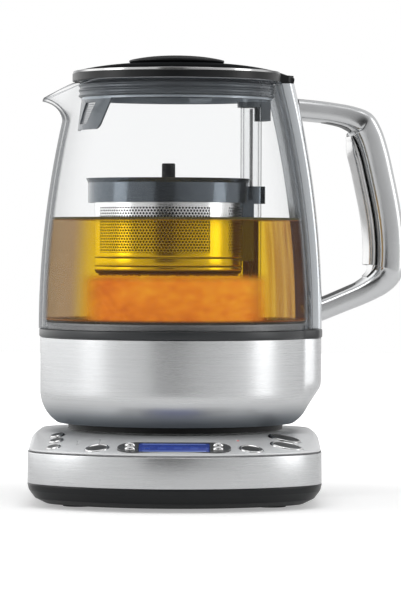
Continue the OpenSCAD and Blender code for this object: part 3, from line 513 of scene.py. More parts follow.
def points_mesh(name, places):
    mesh = bpy.data.meshes.new(name)
    mesh.from_pydata([tuple(p) for p in places], [], [])
    return mesh


# One tree makes every crossed-head screw: a domed head, a shaft and two crossed slots cut in
bench = Bench("crossed_screws", Head_Radius=0.003, Head_Height=0.0018, Shaft_Radius=0.0015, Length=0.016)
head = bench.node("MeshCone", sockets={
    "Vertices": 28, "Side Segments": 2, "Radius Bottom": bench["Head_Radius"] * 0.86,
    "Radius Top": bench["Head_Radius"], "Depth": bench["Head_Height"]})
slots = [bench.node("MeshCube", sockets={"Size": bench.xyz(**{
    long_side: bench["Head_Radius"] * 1.15, short_side: bench["Head_Radius"] * 0.26,
    "Z": bench["Head_Height"]})}) for long_side, short_side in ("XY", "YX")]
cut = bench.node("MeshBoolean", {"operation": "DIFFERENCE"}, {
    "Mesh 1": head, "Mesh 2": bench.together(*slots)})
shaft = bench.moved(bench.rod(16, bench["Shaft_Radius"]), Z=bench["Length"] / 2)
crossed_screws = bench.close_on_points(bench.together(cut, shaft))


def screws(node, body, spots, head_r, head_h, shaft_r, length):
    """The crossed-head screws of one node, with the middle of each head at its spot."""
    made = grown(node + "_dressed", crossed_screws, plated_steel, points_mesh(node + "_spots", spots),
                 Head_Radius=head_r, Head_Height=head_h, Shaft_Radius=shaft_r, Length=length)
    seat(made, body, "screw_steel", node)


HEAD_Z = 0.0023
SCREW_SPOTS = [(-0.074, 0.012), (0.074, 0.012), (-0.048, 0.074), (0.048, 0.074)]
screws("base_screws", "base", [(x, y, HEAD_Z) for x, y in SCREW_SPOTS], 0.003, 0.0018, 0.0015, 0.0155)


# ---- Steel band -----------------------------------------------------------
# A strip of stainless sheet wraps round the base above the tray. It is brushed along its length,
# so fine lines run round it, and its two edges are broken so that they don't cut.

def brushed(name, level=0.62, roughness=0.27, lines=5200, wander=0.12, foot=None):
    """Sheet steel brushed along X of its UV map: hair lines, and slow bands of more or less shine.

    Between the two heights of foot it darkens and dulls downwards: the darkening is a painted reflection of
    the dark parts below it.
    """
    made = Finish(name, Metallic=1.0)
    of = made.node("UVMap")
    hair = made.noise(1, (26, lines, 1), detail=4, of=of, roughness=0.65)
    coarse = made.noise(1, (9, lines / 5, 1), detail=3, of=of)
    slow = made.noise(1, (22, 30, 1), detail=2, of=of)
    colour = made.blend(hair * 0.6 + coarse * 0.4, grey(level * 0.8, 0.012), grey(level * 1.2, 0.012))
    dull = 0.0
    if foot:
        # Painted reflection: the colour darkens towards the foot
        lift = made.axis("Z").rise(*foot)
        colour = made.blend(lift, grey(level * 0.3, 0.1), colour)
        dull = 0.45 - 0.45 * lift
    made.surface(colour, dull + roughness, (hair, wander), (slow, 0.1))
    return made.relief(hair, 0.00003, 0.35)


band_steel = brushed("brushed band steel")
band_low, band_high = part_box("base_band")
BAND_WALL = 0.0012
band = base_skin("base_band_dressed", [(0, band_low.z), (0, band_high.z), (BAND_WALL, band_high.z),
                                       (BAND_WALL, band_low.z)], 0.0005, loop=True)
seat(painted(band, band_steel), "base", "brushed_steel", "base_band")


# ---- Panel ----------------------------------------------------------------
# The top panel is pressed with a round plateau for the jug, from which it slopes to the front with
# the controls. It has a satin silver coat, brushed from left to right, over its openings' edges too.

def dress(node, finish, slot, crease=24):
    """A welded copy of a solid, shaded smooth between its creases, that stands for it."""
    source = frame["nodes"][node]

    def weld(work):
        bmesh.ops.remove_doubles(work, verts=work.verts, dist=2e-6)
        bmesh.ops.dissolve_degenerate(work, edges=work.edges, dist=1e-7)

    made = shaded(reshaped(linked(node + "_dressed", source.data.copy()), weld), crease)
    return seat(painted(made, finish), source["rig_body"], slot, node)


satin_silver = Finish("satin silver", Metallic=0.35)
lines = satin_silver.noise(1, (60, 1900, 1900), detail=3, roughness=0.6)
cloud = satin_silver.noise(34, detail=2)
satin_silver.surface(satin_silver.blend(lines, grey(0.78, 0.01), grey(0.92, 0.01)), 0.34,
                     (lines, 0.1), (cloud, 0.1))
satin_silver.relief(lines, 0.00003, 0.4)
dress("base_panel", satin_silver, "panel_silver")


# ---- Display --------------------------------------------------------------
# An eye-shaped bezel of dark satin plastic frames a window over the display. The window is lit
# blue from its edges, with paler rows where the unlit digits and bars lie behind the glass.

PLATEAU_R = 0.069
PLATEAU_Z = 0.0405
PANEL_RISE = 0.0087
PANEL_INSET = 0.0006
TILT = math.atan(PANEL_RISE / (BASE_R - PANEL_INSET - PLATEAU_R))


def on_panel(x, y):
    """The turn and move that bring a shape to a place on the panel's slope, Z along its normal."""
    reach = math.hypot(x, y)
    around = math.atan2(y, x)
    z = PLATEAU_Z - max(0.0, reach - PLATEAU_R) * math.tan(TILT)
    return (Matrix.Translation((x, y, z)) @ Matrix.Rotation(around, 4, "Z")
            @ Matrix.Rotation(TILT, 4, "Y") @ Matrix.Rotation(-around, 4, "Z"))


DISPLAY_Y = -0.0898
WINDOW_L = 0.040
BEZEL_W = 0.019
BEZEL_DEEP = 0.005
DISPLAY_PROUD = 0.0005
display_place = on_panel(0, DISPLAY_Y)

bezel_grey = moulding("bezel grey", 0.055, roughness=0.3, tint=0.02, Coat_Weight=0.3)
dress("lcd_bezel", bezel_grey, "bezel_grey")

window_half_w = BEZEL_W / 2 - 0.0015
window_outline = rounded([(x * WINDOW_L / 2, y * window_half_w) for x, y in (
    (-1, -1), (1, -1), (1, 1), (-1, 1))], 0.001, closed=True)
window_rings = []
for inset, height in ((0, -BEZEL_DEEP + 0.0014), (0, DISPLAY_PROUD - 0.0006),
                      (0.0003, DISPLAY_PROUD - 0.0002)):
    share = 1 - inset / window_half_w
    window_rings.append([(x * share, y * share, height) for x, y in window_outline])
lens = sheet_of("lcd_lens_dressed", window_rings)
lens.data.transform(display_place)
blue_window = Finish("lit blue window", Roughness=0.08, IOR=1.5, Coat_Weight=0.6, Coat_Roughness=0.04)
sideways = blue_window.axis("X")
deep = blue_window.axis("Y") - DISPLAY_Y
edge_lines = deep.size().rise(0.0055, 0.0061) * (1 - deep.size().rise(0.0066, 0.0072))
edge_lines = edge_lines * (1 - sideways.size().rise(0.0176, 0.0184))
off_row = (deep + 0.0012).size()
pale_rows = (1 - off_row.rise(0.0012, 0.0022)) * (sideways * 700).math("SINE").rise(-0.4, 0.4)
glow = blue_window.noise(70, detail=1)
edge_glow = deep.size().rise(0.004, 0.0085)
lit = blue_window.shades(0.16 * glow + 0.6 * edge_lines + 0.13 * pale_rows + 0.18 * edge_glow,
                         (0.0, (0.012, 0.03, 0.23)), (0.4, (0.05, 0.1, 0.42)), (1.0, (0.4, 0.5, 0.85)))
blue_window.set(Base_Color=lit, Emission_Color=lit, Emission_Strength=0.22)
seat(painted(lens, blue_window), "base", "lens_blue", "lcd_lens")

display_back = moulding("display back", 0.02, roughness=0.5)
coat(display_back, "lcd_module")


# ---- Buttons --------------------------------------------------------------
# Each button is a moulded key: a crowned cap in a bright plated rim, a flange that the panel holds
# back, and a stem over its switch. They differ in plan and in how dark the middle of the cap is.

PRESS_PROUD = 0.001
FLANGE_Z = -0.0037
FLANGE_T = 0.0008
STEM_L = 0.0044
KEY_PARTS = 40


def key_finish(name, middle, rim, rim_share):
    """A cap whose middle is one grey, with a plated rim from rim_share of the way out."""
    made = Finish(name, IOR=1.5, Coat_Roughness=0.1)
    out = made.along("Y")
    bright = out.rise(rim_share - 0.03, rim_share + 0.03)
    grain = made.noise(1400, detail=2)
    made.set(Base_Color=made.blend(bright, grey(middle), grey(rim)), Metallic=0.15 + 0.85 * bright,
             Roughness=0.36 - 0.2 * bright + 0.1 * (grain - 0.5), Coat_Weight=0.4 * bright)
    return made.relief(grain, 0.00003, 0.4)


def key(name, place, width, depth, finish, crown=0.0004, proud=PRESS_PROUD, dish=0.0, flange=FLANGE_Z,
        flange_rim=0.0008):
    """One button on the panel; its UV map's Y runs from 0 in the middle of the cap to 1 at its edge."""
    least = min(width, depth)
    grow = 1 + 2 * flange_rim / least
    stem = min(0.002, depth / 3) * 2 / least
    stem_foot = FLANGE_Z - FLANGE_T - STEM_L
    middle = proud if dish else proud + crown
    stations = [(0.0, middle - crown), (0.35, middle - crown * 0.8), (0.6, middle - crown * 0.45),
                (0.78, middle - crown * 0.1 - dish), (0.86, proud + dish), (0.93, proud + dish * 0.6),
                (0.98, proud - 0.0002), (1.0, proud - 0.0006), (1.0, flange), (grow, flange),
                (grow, flange - FLANGE_T), (stem, flange - FLANGE_T), (stem, stem_foot), (0.0, stem_foot)]
    rings = []
    for share, height in stations:
        rings.append([(x * width / 2, y * depth / 2, height)
                      for x, y, _ in round_ring(share, 0, KEY_PARTS)])
    made = sheet_of(name, rings, caps=False)
    layer = made.data.uv_layers["UVMap"].data
    for face in made.data.polygons:
        for corner in face.loop_indices:
            spot = made.data.vertices[made.data.loops[corner].vertex_index].co
            share = 1.0 if spot.z < flange + 1e-6 else math.hypot(spot.x * 2 / width, spot.y * 2 / depth)
            layer[corner].uv = (spot.x, share)
    made.data.transform(place)
    return seat(painted(made, finish), "key_" + name, "panel_button", "button_" + name)


small_key = key_finish("small key", 0.05, 0.62, 0.72)
round_key = key_finish("round key", 0.035, 0.6, 0.8)
# The two oval keys share one finish but for their rims: the back key's rim is painted darker as shade, the
# front key's brighter as a painted highlight
shaded_rim_key = key_finish("large key", 0.06, 0.42, 0.87)
highlit_rim_key = key_finish("large key with a bright rim", 0.07, 0.66, 0.82)
side_key = key_finish("side key", 0.7, 0.75, 0.6)

SMALL_KEY, ROUND_KEY, LARGE_KEY = (0.009, 0.011), (0.014, 0.014), (0.0195, 0.0145)
DISH = 0.0002
for word, x, y, plan, finish, dish in (
        ("left_back", -0.0679, -0.0360, SMALL_KEY, small_key, 0),
        ("left_middle", -0.0679, -0.0515, SMALL_KEY, small_key, 0),
        ("left_front", -0.0689, -0.0675, SMALL_KEY, small_key, 0),
        ("round_left", -0.0435, -0.0840, ROUND_KEY, round_key, DISH),
        ("round_right", 0.0434, -0.0845, ROUND_KEY, round_key, DISH),
        ("oval_back", 0.0631, -0.0475, LARGE_KEY, shaded_rim_key, DISH),
        ("oval_front", 0.0638, -0.0660, LARGE_KEY, highlit_rim_key, DISH)):
    key(word, on_panel(x, y), *plan, finish, dish=dish)
for word, across in (("left", -1), ("right", 1)):
    for way, up in (("up", 1), ("down", -1)):
        spot = display_place @ Matrix.Translation((across * (WINDOW_L / 2 + 0.0048), up * 0.0034, 0))
        key(f"{word}_{way}", spot, 0.006, 0.004, side_key, crown=0.0005, proud=DISPLAY_PROUD + 0.0007,
            flange=-BEZEL_DEEP - 0.0004, flange_rim=0.0004)


# ---- Indicator lamps ------------------------------------------------------
# Two columns of three small lamps and one red lamp show through the panel. Each is a smoked
# light guide with a domed tip; the red one at the right is lit, and the others are off.

LAMP_R = 0.00085
bench = Bench("light_guides", Radius=LAMP_R, Length=0.012)
guide = bench.moved(bench.rod(16, bench["Radius"]), Z=bench["Length"] / -2)
tip = bench.node("MeshUVSphere", sockets={"Segments": 16, "Rings": 8, "Radius": bench["Radius"]})
flat_tip = bench.node("Transform", sockets={"Geometry": tip, "Scale": (1, 1, 0.35)})
light_guides = bench.close_on_points(bench.together(guide, flat_tip))

LAMP_COLUMNS = [(-0.0551, -0.0655), (-0.0423, -0.0700)]
LAMP_PITCH = 0.0044
RED_LAMP = (0.036, -0.069)
lamp_spots = [(x, y + k * LAMP_PITCH) for x, y in LAMP_COLUMNS for k in (-1, 0, 1)] + [RED_LAMP]
lamp_places = [on_panel(x, y).translation - Vector((0, 0, 0.0001)) for x, y in lamp_spots]
smoked = Finish("smoked light guide", IOR=1.5, Specular_IOR_Level=0.1)
red_side = smoked.axis("X") > 0.02
smoke = smoked.noise(700)
smoked.set(Base_Color=smoked.blend(red_side, grey(0.006), (0.55, 0.02, 0.015, 1)),
           Emission_Color=smoked.blend(red_side, (0, 0, 0, 1), (0.8, 0.03, 0.02, 1)),
           Emission_Strength=0.6, Roughness=0.5 + 0.1 * smoke)
lamps = grown("indicator_lamps_dressed", light_guides, smoked, points_mesh("lamp_spots", lamp_places),
              Radius=LAMP_R, Length=0.0115)
seat(lamps, "base", "lamp_dark", "indicator_lamps")


# ---- Power connector and what the base holds ------------------------------
# The round plug in the middle of the plateau takes the jug at any angle. Below it lie the
# boards with their switches, relay and buzzer, and the lead's bush sits in the back of the band.

connector_black = moulding("connector black", 0.028, roughness=0.5)
coat(connector_black, "base_connector", "jug_connector")
coat(black_moulding, "cord_gland")
contact_brass = plated("contact brass", 0.5, 0.22)
contact_brass.set(Base_Color=contact_brass.blend(
    contact_brass.noise(160), (0.62, 0.42, 0.16, 1), (0.78, 0.58, 0.26, 1)))
coat(contact_brass, "contact_pins", "temperature_sensor")

board_green = Finish("printed board", Roughness=0.4, IOR=1.5)
tracks = board_green.node("TexBrick", {"offset": 0.5}, {
    "Vector": board_green.place(), "Scale": 240.0, "Mortar Size": 0.03, "Color1": (0.02, 0.1, 0.045, 1),
    "Color2": (0.025, 0.13, 0.055, 1), "Mortar": (0.04, 0.2, 0.09, 1)}, out="Color")
board_green.set(Base_Color=tracks, Roughness=0.32 + 0.2 * board_green.noise(300))
coat(board_green, "control_board", "power_board")
coat(moulding("switch grey", 0.1, roughness=0.5), "tact_switches")


# ---- Jug bottom -----------------------------------------------------------
# A black bottom cover closes the steel shell and stands on the base's plateau. Four crossed
# screws hold it from below, and the power socket hangs free in the hole in its middle.

JUG_TURN = math.radians(15)


def turned(thing):
    """Turns a piece drawn with the handle along X to where the jug stands on its base."""
    thing.data.transform(Matrix.Rotation(JUG_TURN, 4, "Z"))
    return thing


bottom_black = moulding("jug bottom black", 0.004, roughness=0.45, Specular_IOR_Level=0.2)
dress("jug_bottom", bottom_black, "black_plastic")
jug_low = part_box("jug_bottom")[0].z
BOTTOM_SCREWS_R = 0.0604
screws("jug_bottom_screws", "jug", [
    polar(BOTTOM_SCREWS_R, JUG_TURN + math.radians(a), jug_low + 0.0009) for a in (45, 135, 225, 315)],
    0.0023, 0.0012, 0.0015, 0.006)


# ---- Steel shell ----------------------------------------------------------
# The shell round the heater is drawn from stainless sheet with a rounded lower corner, and brushed
# round its axis. Below the handle it is pressed out into a boss with slanted sides and foot.

SHELL_R = 0.0796
SHELL_Z = jug_low + 0.0033
SHELL_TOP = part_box("jug_shell")[1].z
SHELL_CORNER = 0.022
SHELL_WALL = 0.0012
BOSS_PROUD = 0.006
BOSS_FOOT_Z = SHELL_Z + 0.0245
BOSS_FILLET = 0.008
BOSS_SLOPE = math.radians(33)
BOSS_FOOT_HALF = math.radians(36.6)
BOSS_TUCK = 0.0035
BOSS_HEAD_HALF = math.radians(29)
FLAT_R = 0.0688  # where the rounded corner begins on the underside
FLOOR_HOLE_R = 0.0578
SHELL_PARTS = 288
corner_z = SHELL_Z + math.sqrt(SHELL_CORNER ** 2 - (FLAT_R - SHELL_R + SHELL_CORNER) ** 2)


def smooth(t):
    t = min(1.0, max(0.0, t))
    return t * t * (3 - 2 * t)


def shell_radius(z):
    """Radius of the round shell at a height."""
    if z >= corner_z:
        return SHELL_R
    return SHELL_R - SHELL_CORNER + math.sqrt(max(0.0, SHELL_CORNER ** 2 - (corner_z - z) ** 2))


def boss_radius(z):
    """Radius of the boss's face at a height: upright, then a fillet, then the slanted foot."""
    face = SHELL_R + BOSS_PROUD
    if z >= BOSS_FOOT_Z:
        return face
    drop = BOSS_FOOT_Z - z
    if drop <= BOSS_FILLET * math.sin(BOSS_SLOPE):
        return face - BOSS_FILLET + math.sqrt(BOSS_FILLET ** 2 - drop ** 2)
    end = face - BOSS_FILLET * (1 - math.cos(BOSS_SLOPE))
    tuck = BOSS_TUCK * max(0.0, 1 - (z - SHELL_Z) / 0.007) ** 2
    return end - (drop - BOSS_FILLET * math.sin(BOSS_SLOPE)) * math.tan(BOSS_SLOPE) - tuck


def boss_share(a):
    """How much of the boss stands at an angle from the handle: 1 on its face, 0 off it."""
    a = abs((a + math.pi) % (2 * math.pi) - math.pi)
    t = (BOSS_FOOT_HALF - a) / (BOSS_FOOT_HALF - BOSS_HEAD_HALF)
    return min(1.0, max(0.0, t)) * 0.75 + smooth(t) * 0.25


def shell_ring(z, inset):
    round_r = shell_radius(z)
    proud = max(0.0, boss_radius(z) - round_r)
    return round_ring(lambda a: round_r + boss_share(a) * proud - inset, z, SHELL_PARTS)


shell_heights = [SHELL_Z + 0.0004 + (corner_z - SHELL_Z - 0.0004) * (i / 14) ** 1.3 for i in range(15)]
shell_heights += [corner_z + (SHELL_TOP - corner_z) * i / 16 for i in range(1, 17)]
outer_rings = [shell_ring(z, 0) for z in shell_heights[:-1]]
outer_rings += [shell_ring(SHELL_TOP - 0.0003, 0), shell_ring(SHELL_TOP, 0.0003)]
inner_rings = [shell_ring(z, SHELL_WALL) for z in reversed(shell_heights)]
under = [round_ring(FLOOR_HOLE_R, z, SHELL_PARTS) for z in (SHELL_Z + SHELL_WALL, SHELL_Z)]
shell = sheet_of("jug_shell_dressed", under + outer_rings + inner_rings, loop=True)
# The shell's foot is darkened with a painted reflection of the dark base below it
shell_steel = brushed("brushed shell steel", level=0.66, foot=(SHELL_Z + 0.001, SHELL_Z + 0.0165))
seat(painted(turned(shell), shell_steel), "jug", "brushed_steel", "jug_shell")


# ---- Seal ring ------------------------------------------------------------
# A black silicone ring seals the glass to the steel. It is a moulded bead, a little prouder than
# the shell, and follows the boss below the handle; its skin is smooth enough to catch the light.

RING_H = 0.005
RING_PROUD = 0.0006
NECK_R = 0.0787
ring_rings = []
for inset, z in rounded([(0, 0), (0, RING_H), (0.0022, RING_H), (0.0022, 0.001), (0.007, 0.001), (0.007, 0)],
                        0.0011, closed=True):
    swell = BOSS_PROUD if inset < 0.002 else 0
    edge = SHELL_R + RING_PROUD - inset
    ring_rings.append(round_ring(lambda a: edge + boss_share(a) * swell, SHELL_TOP + z, SHELL_PARTS))
seal = sheet_of("jug_seal_ring_dressed", ring_rings, loop=True)
seal_black = moulding("seal black", 0.024, roughness=0.32, tint=0.08, grain=1600)
seat(painted(turned(seal), seal_black), "jug", "seal_black", "jug_seal_ring")
coat(seal_black, "tube_seal")


# ---- Glass ----------------------------------------------------------------
# The jug is blown in borosilicate glass: it narrows upwards in a long curve to a fire-polished
# rim, which is drawn out into a beak. Thin curved walls look clear face on and grey at the edges.

GLASS_Z = SHELL_TOP + RING_H
GLASS_R = 0.0805
GLASS_H = 0.1445
GLASS_CURVE = 0.550
GLASS_WALL = 0.0025
BEAK_REACH = 0.0188
BEAK_DIP = 0.0125
BEAK_HALF = math.radians(30)
BEAK_START = 0.84


def glass_out(h):
    """Outside radius of the glass at a height above the seal ring."""
    return GLASS_R - h * h / (2 * GLASS_CURVE)


beak_foot = Vector((glass_out(BEAK_START * GLASS_H), BEAK_START * GLASS_H))
beak_tip = Vector((glass_out(GLASS_H) + BEAK_REACH, GLASS_H - BEAK_DIP))
beak_bend = Vector((glass_out(GLASS_H) + 0.009, GLASS_H - 0.014))


def beak_share(a):
    off = abs(a - math.pi)
    return 0.0 if off >= BEAK_HALF else (0.5 + 0.5 * math.cos(math.pi * off / BEAK_HALF)) ** 1.15


def glass_point(a, t):
    """Outside of the glass at an angle and a share of its height, drawn out towards the beak."""
    plain = Vector((glass_out(t * GLASS_H), t * GLASS_H))
    s = (t - BEAK_START) / (1 - BEAK_START)
    if s <= 0:
        return plain
    beak = (1 - s) ** 2 * beak_foot + 2 * s * (1 - s) * beak_bend + s * s * beak_tip
    return plain + beak_share(a) * (beak - plain)


GLASS_PARTS = 240
WALL_ROWS = 18
BEAK_ROWS = 12
RIM_ROWS = 6
RIM_CROWN = 0.0006
GLASS_LIFT = 0.0001  # keeps the glass off its seal


def glass_rings():
    shares = [BEAK_START * i / WALL_ROWS for i in range(WALL_ROWS)]
    shares += [BEAK_START + (1 - BEAK_START) * i / BEAK_ROWS for i in range(BEAK_ROWS + 1)]
    inner, outer = [], []
    for t in shares:
        out_ring, in_ring = [], []
        for k in range(GLASS_PARTS):
            a = 2 * math.pi * k / GLASS_PARTS
            out = glass_point(a, t)
            b = beak_share(a) * smooth((t - BEAK_START) / 0.16)
            inside = out + GLASS_WALL * Vector((-1 + 0.72 * b, 0.69 * b))
            for point, ring in ((out, out_ring), (inside, in_ring)):
                ring.append(polar(point.x, a, GLASS_Z + GLASS_LIFT + point.y))
        outer.append(out_ring)
        inner.append(in_ring)
    rim = []
    for i in range(1, RIM_ROWS):
        lean = math.pi * i / RIM_ROWS
        ring = []
        for here, there in zip(outer[-1], inner[-1]):
            middle = (Vector(here) + Vector(there)) / 2
            reach = (Vector(here) - Vector(there)) / 2
            ring.append(tuple(middle + reach * math.cos(lean) + Vector((0, 0, RIM_CROWN * math.sin(lean)))))
        rim.append(ring)
    neck = [round_ring(NECK_R - inset, GLASS_Z - drop, GLASS_PARTS) for inset, drop in (
        (GLASS_WALL, 0), (GLASS_WALL, 0.0035), (0, 0.0035), (0, 0))]
    return outer + rim + inner[::-1] + neck


def clear(name, tint, face=0.016, haze=0.06, edge=0.8, thin=0.7):
    """Clear glass: light passes straight through, with a faint haze, and its thin edges turn dark."""
    made = Finish(name, Roughness=0.12, IOR=1.15, Specular_IOR_Level=0.3)
    facing = made.facing()
    pale = made.blend(facing.rise(0.4, 0.8), (0.6, 0.62, 0.65, 1), tint)
    dark = (*(part * 0.6 for part in tint[:3]), 1)
    made.set(Base_Color=made.blend(0.25 * made.noise(14, detail=1), pale, dark))
    share = face + haze * facing.rise(0.25, thin) + edge * facing.rise(thin, thin + 0.15)
    return made.pass_light((0.992, 0.994, 0.995, 1), share)


jug_glass = clear("jug glass", (0.1, 0.115, 0.13, 1))
glass = painted(sheet_of("glass_jug_dressed", glass_rings(), loop=True), jug_glass)
rim_glass = clear("fire-polished rim", (0.03, 0.034, 0.04, 1), face=0.4, haze=0.3, edge=0.3)
glass.data.materials.append(rim_glass.material)
below_rim = (WALL_ROWS + BEAK_ROWS) * GLASS_PARTS
for face in glass.data.polygons[below_rim:below_rim + RIM_ROWS * GLASS_PARTS]:
    face.material_index = 1
seat(turned(glass), "jug", "clear_glass", "glass_jug")


# ---- Heater ---------------------------------------------------------------
# A stainless plate closes the glass from below. The sheathed ring element is brazed under it,
# with the temperature probe in the middle and the small lift motor beside it.

plate_steel = Finish("heater plate", Metallic=1.0)
turning = plate_steel.noise(1, (900, 900, 900), detail=2)
plate_steel.surface(plate_steel.blend(turning, grey(0.16), grey(0.24)), 0.4, (turning, 0.2))
plate_steel.relief(turning, 0.00003, 0.4)
coat(plate_steel, "jug_floor")
coat(plated("element sheath", 0.3, 0.45), "heating_element")
coat(plated("motor can", 0.2, 0.4), "lift_motor")


# ---- Tea ------------------------------------------------------------------
# Freshly brewed tea fills the jug to half way up the basket. It is clear gold at its top, thicker
# and orange below the basket, where it still swirls, and brownish where little of it lies behind.
# The orange tea glows with painted light, its left side is painted paler, and painted shade lies in
# two dark lines at its foot and its level.

TEA_LEVEL = 0.1655
TEA_GAP = 0.0002
# Heights between which the thick tea thins out, and the dark lines of painted shade at its foot and level
# begin
THICK_TOP = (0.1275, 0.134)
FOOT_SHADE = (0.1052, 0.1072)
LEVEL_SHADE = (0.1636, 0.1643)
floor_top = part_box("jug_floor")[1].z
tea_foot = floor_top + TEA_GAP
tea_heights = [tea_foot + (TEA_LEVEL - tea_foot) * i / 24 for i in range(25)]
tea_profile = [(0.0, tea_foot)]
tea_profile += [(glass_out(z - GLASS_Z) - GLASS_WALL - TEA_GAP, z) for z in tea_heights]
tea_r = tea_profile[-1][0]
tea_profile += [(tea_r - 0.0012, TEA_LEVEL - 0.0006), (tea_r - 0.004, TEA_LEVEL - 0.0009),
                (0.0, TEA_LEVEL - 0.0009)]
tea = lathe("tea", tea_profile)
brew = Finish("brewed tea", Roughness=0.5, IOR=1.33, Specular_IOR_Level=0.15)
height = brew.axis("Z")
swirl = brew.noise(20, (1, 1, 1.3), detail=5, roughness=0.6)
wisps = brew.noise(150, (1, 1, 1.6), detail=3)
low_down = 1 - height.rise(*THICK_TOP)
foot_shade = 1 - height.rise(*FOOT_SHADE)
level_shade = height.rise(*LEVEL_SHADE)
thick = brew.shades(0.72 * swirl + 0.28 * wisps,
                    (0.34, (0.62, 0.12, 0.008)), (0.48, (0.8, 0.22, 0.012)),
                    (0.6, (0.88, 0.33, 0.018)), (0.72, (0.93, 0.46, 0.04)))
# Painted shade: the tea is dark in a line at its foot and under its level; ends marks both lines
painted_shade_brew = brew.blend(level_shade, (0.05, 0.042, 0.028, 1), (0.1, 0.085, 0.03, 1))
ends = foot_shade.math("MAXIMUM", level_shade)
facing = brew.facing()
# The thick orange tea also glows: painted light, as tea is no lamp
brew.set(Base_Color=brew.blend(ends, thick, painted_shade_brew),
         Emission_Color=brew.blend(ends, thick, (0, 0, 0, 1)), Emission_Strength=0.28)
streaks = brew.noise(1, (190, 190, 1.2), detail=2)
brown = brew.blend(streaks.rise(0.35, 0.65), (0.62, 0.42, 0.18, 1), (0.8, 0.66, 0.3, 1))
# Painted light: the tea's left side lets through a paler, greyer colour
brown = brew.blend(1 - brew.axis("X").rise(-0.062, -0.03), brown, (0.6, 0.5, 0.36, 1))
gold = brew.blend(facing.rise(0.16, 0.42), (0.9, 0.72, 0.09, 1), brown)
middle = 1 - facing.rise(0.14, 0.34)
body_share = 0.04 + 0.84 * low_down * middle
brew.pass_light(gold, body_share.math("MAXIMUM", 0.8 * ends))
seat(painted(turned(tea), brew), "jug", "clear_glass")


# ---- Lift post, drive screw and nut ---------------------------------------
# A clear sealed post stands on the plate. In it turns a thin threaded rod, and the magnet nut on
# the rod draws the basket up and down the outside of the post.

POST = Vector((0.0456, 0.0, 0.0))
POST_R = 0.0062
POST_WALL = 0.0015
post_low, post_high = (corner.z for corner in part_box("lift_tube"))


def shifted(thing, offset):
    thing.data.transform(Matrix.Translation(offset))
    return thing


post_profile = rounded([
    (0, post_high), (POST_R, post_high), (POST_R, post_low), (POST_R - POST_WALL, post_low),
    (POST_R - POST_WALL, post_high - 0.002), (0, post_high - 0.002)], 0.001)
post = lathe("lift_tube_dressed", post_profile, parts=64)
post_clear = clear("post glass", (0.2, 0.22, 0.24, 1), face=0.03, haze=0.12, edge=0.6, thin=0.6)
seat(painted(turned(shifted(post, POST)), post_clear), "jug", "clear_tube", "lift_tube")

THREAD_CORE_R = 0.0009
THREAD_LEAD = 0.0015
bench = Bench("threaded_rod", Core_Radius=THREAD_CORE_R, Thread_Radius=0.00032, Lead=THREAD_LEAD, Length=0.14)
core = bench.moved(bench.rod(20, bench["Core_Radius"]), Z=bench["Length"] / 2)
helix = bench.node("CurveSpiral", sockets={
    "Resolution": 14, "Rotations": bench["Length"] / bench["Lead"], "Start Radius": bench["Core_Radius"],
    "End Radius": bench["Core_Radius"], "Height": bench["Length"]})
ridge = bench.node("CurvePrimitiveCircle", sockets={"Resolution": 5, "Radius": bench["Thread_Radius"]})
wound = bench.node("CurveToMesh", sockets={"Curve": helix, "Profile Curve": ridge, "Fill Caps": True})
threaded_rod = bench.close(bench.together(core, wound))

screw_low, screw_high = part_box("drive_screw")
drive = grown("drive_screw_dressed", threaded_rod, plated_steel, Core_Radius=THREAD_CORE_R,
              Thread_Radius=0.00028, Lead=THREAD_LEAD, Length=screw_high.z - screw_low.z)
shifted(drive, POST + Vector((0, 0, screw_low.z)))
seat(turned(drive), "screw", "screw_steel", "drive_screw")
coat(moulding("nut grey", 0.12, roughness=0.45), "drive_nut")


# ---- Spine ----------------------------------------------------------------
# The spine is a satin steel strip that follows the glass from the seal ring to the lid and
# carries the handle. Its back is curved to the glass, and its front is rounded to both sides.

SPINE_HALF_W = 0.018
SPINE_FOOT_T = 0.0066
SPINE_HEAD_T = 0.0083
SPINE_TOP = GLASS_H - 0.0004


def spine_ring(h, n=14):
    r = glass_out(h) + 0.0003
    t = SPINE_FOOT_T + (SPINE_HEAD_T - SPINE_FOOT_T) * h / GLASS_H
    ring = []
    for i in range(n + 1):
        y = -SPINE_HALF_W + 2 * SPINE_HALF_W * i / n
        ring.append((math.sqrt(r * r - y * y), y, GLASS_Z + h))
    for i in range(1, 2 * n):
        a = math.pi / 2 - math.pi * i / (2 * n)
        y = SPINE_HALF_W * math.sin(a)
        back = math.sqrt(r * r - y * y)
        x = back + 0.0006 + (t - 0.0006) * max(math.cos(a), 0) ** 0.55 + (r - back) * 0.5
        ring.append((x, y, GLASS_Z + h))
    return ring


spine = sheet_of("handle_spine_dressed", [spine_ring(SPINE_TOP * i / 28) for i in range(29)])
satin_steel = Finish("satin spine steel", Metallic=1.0)
upright = satin_steel.noise(1, (1500, 1500, 30), detail=3, roughness=0.6)
across = satin_steel.noise(1, (420, 420, 2), detail=2)
# Painted reflection across the spine: its colour is darker along the middle, bright on the flanks and a paler
# grey at the edges
beside = (satin_steel.axis("Y") * math.cos(JUG_TURN) - satin_steel.axis("X") * math.sin(JUG_TURN)).size()
painted_flank_highlight = beside.rise(0.009, 0.012)
steel = satin_steel.blend(0.5 * upright + 0.5 * across.rise(0.4, 0.6), grey(0.28, 0.05), grey(0.46, 0.03))
steel = satin_steel.blend(painted_flank_highlight, steel, grey(0.82, 0.02))
satin_steel.set(Base_Color=satin_steel.blend(beside.rise(0.0168, 0.0174), steel, grey(0.6, 0.04)),
                Roughness=0.22 + 0.12 * (upright - 0.5))
satin_steel.relief(upright, 0.00002, 0.3)
seat(painted(turned(spine), satin_steel), "jug", "spine_steel", "handle_spine")


# ---- Handle ---------------------------------------------------------------
# The handle is one hollow casting in the shape of a D, polished bright. Its two arms meet the
# spine, and the grip between them is wider and thicker, with rounded edges for the hand.

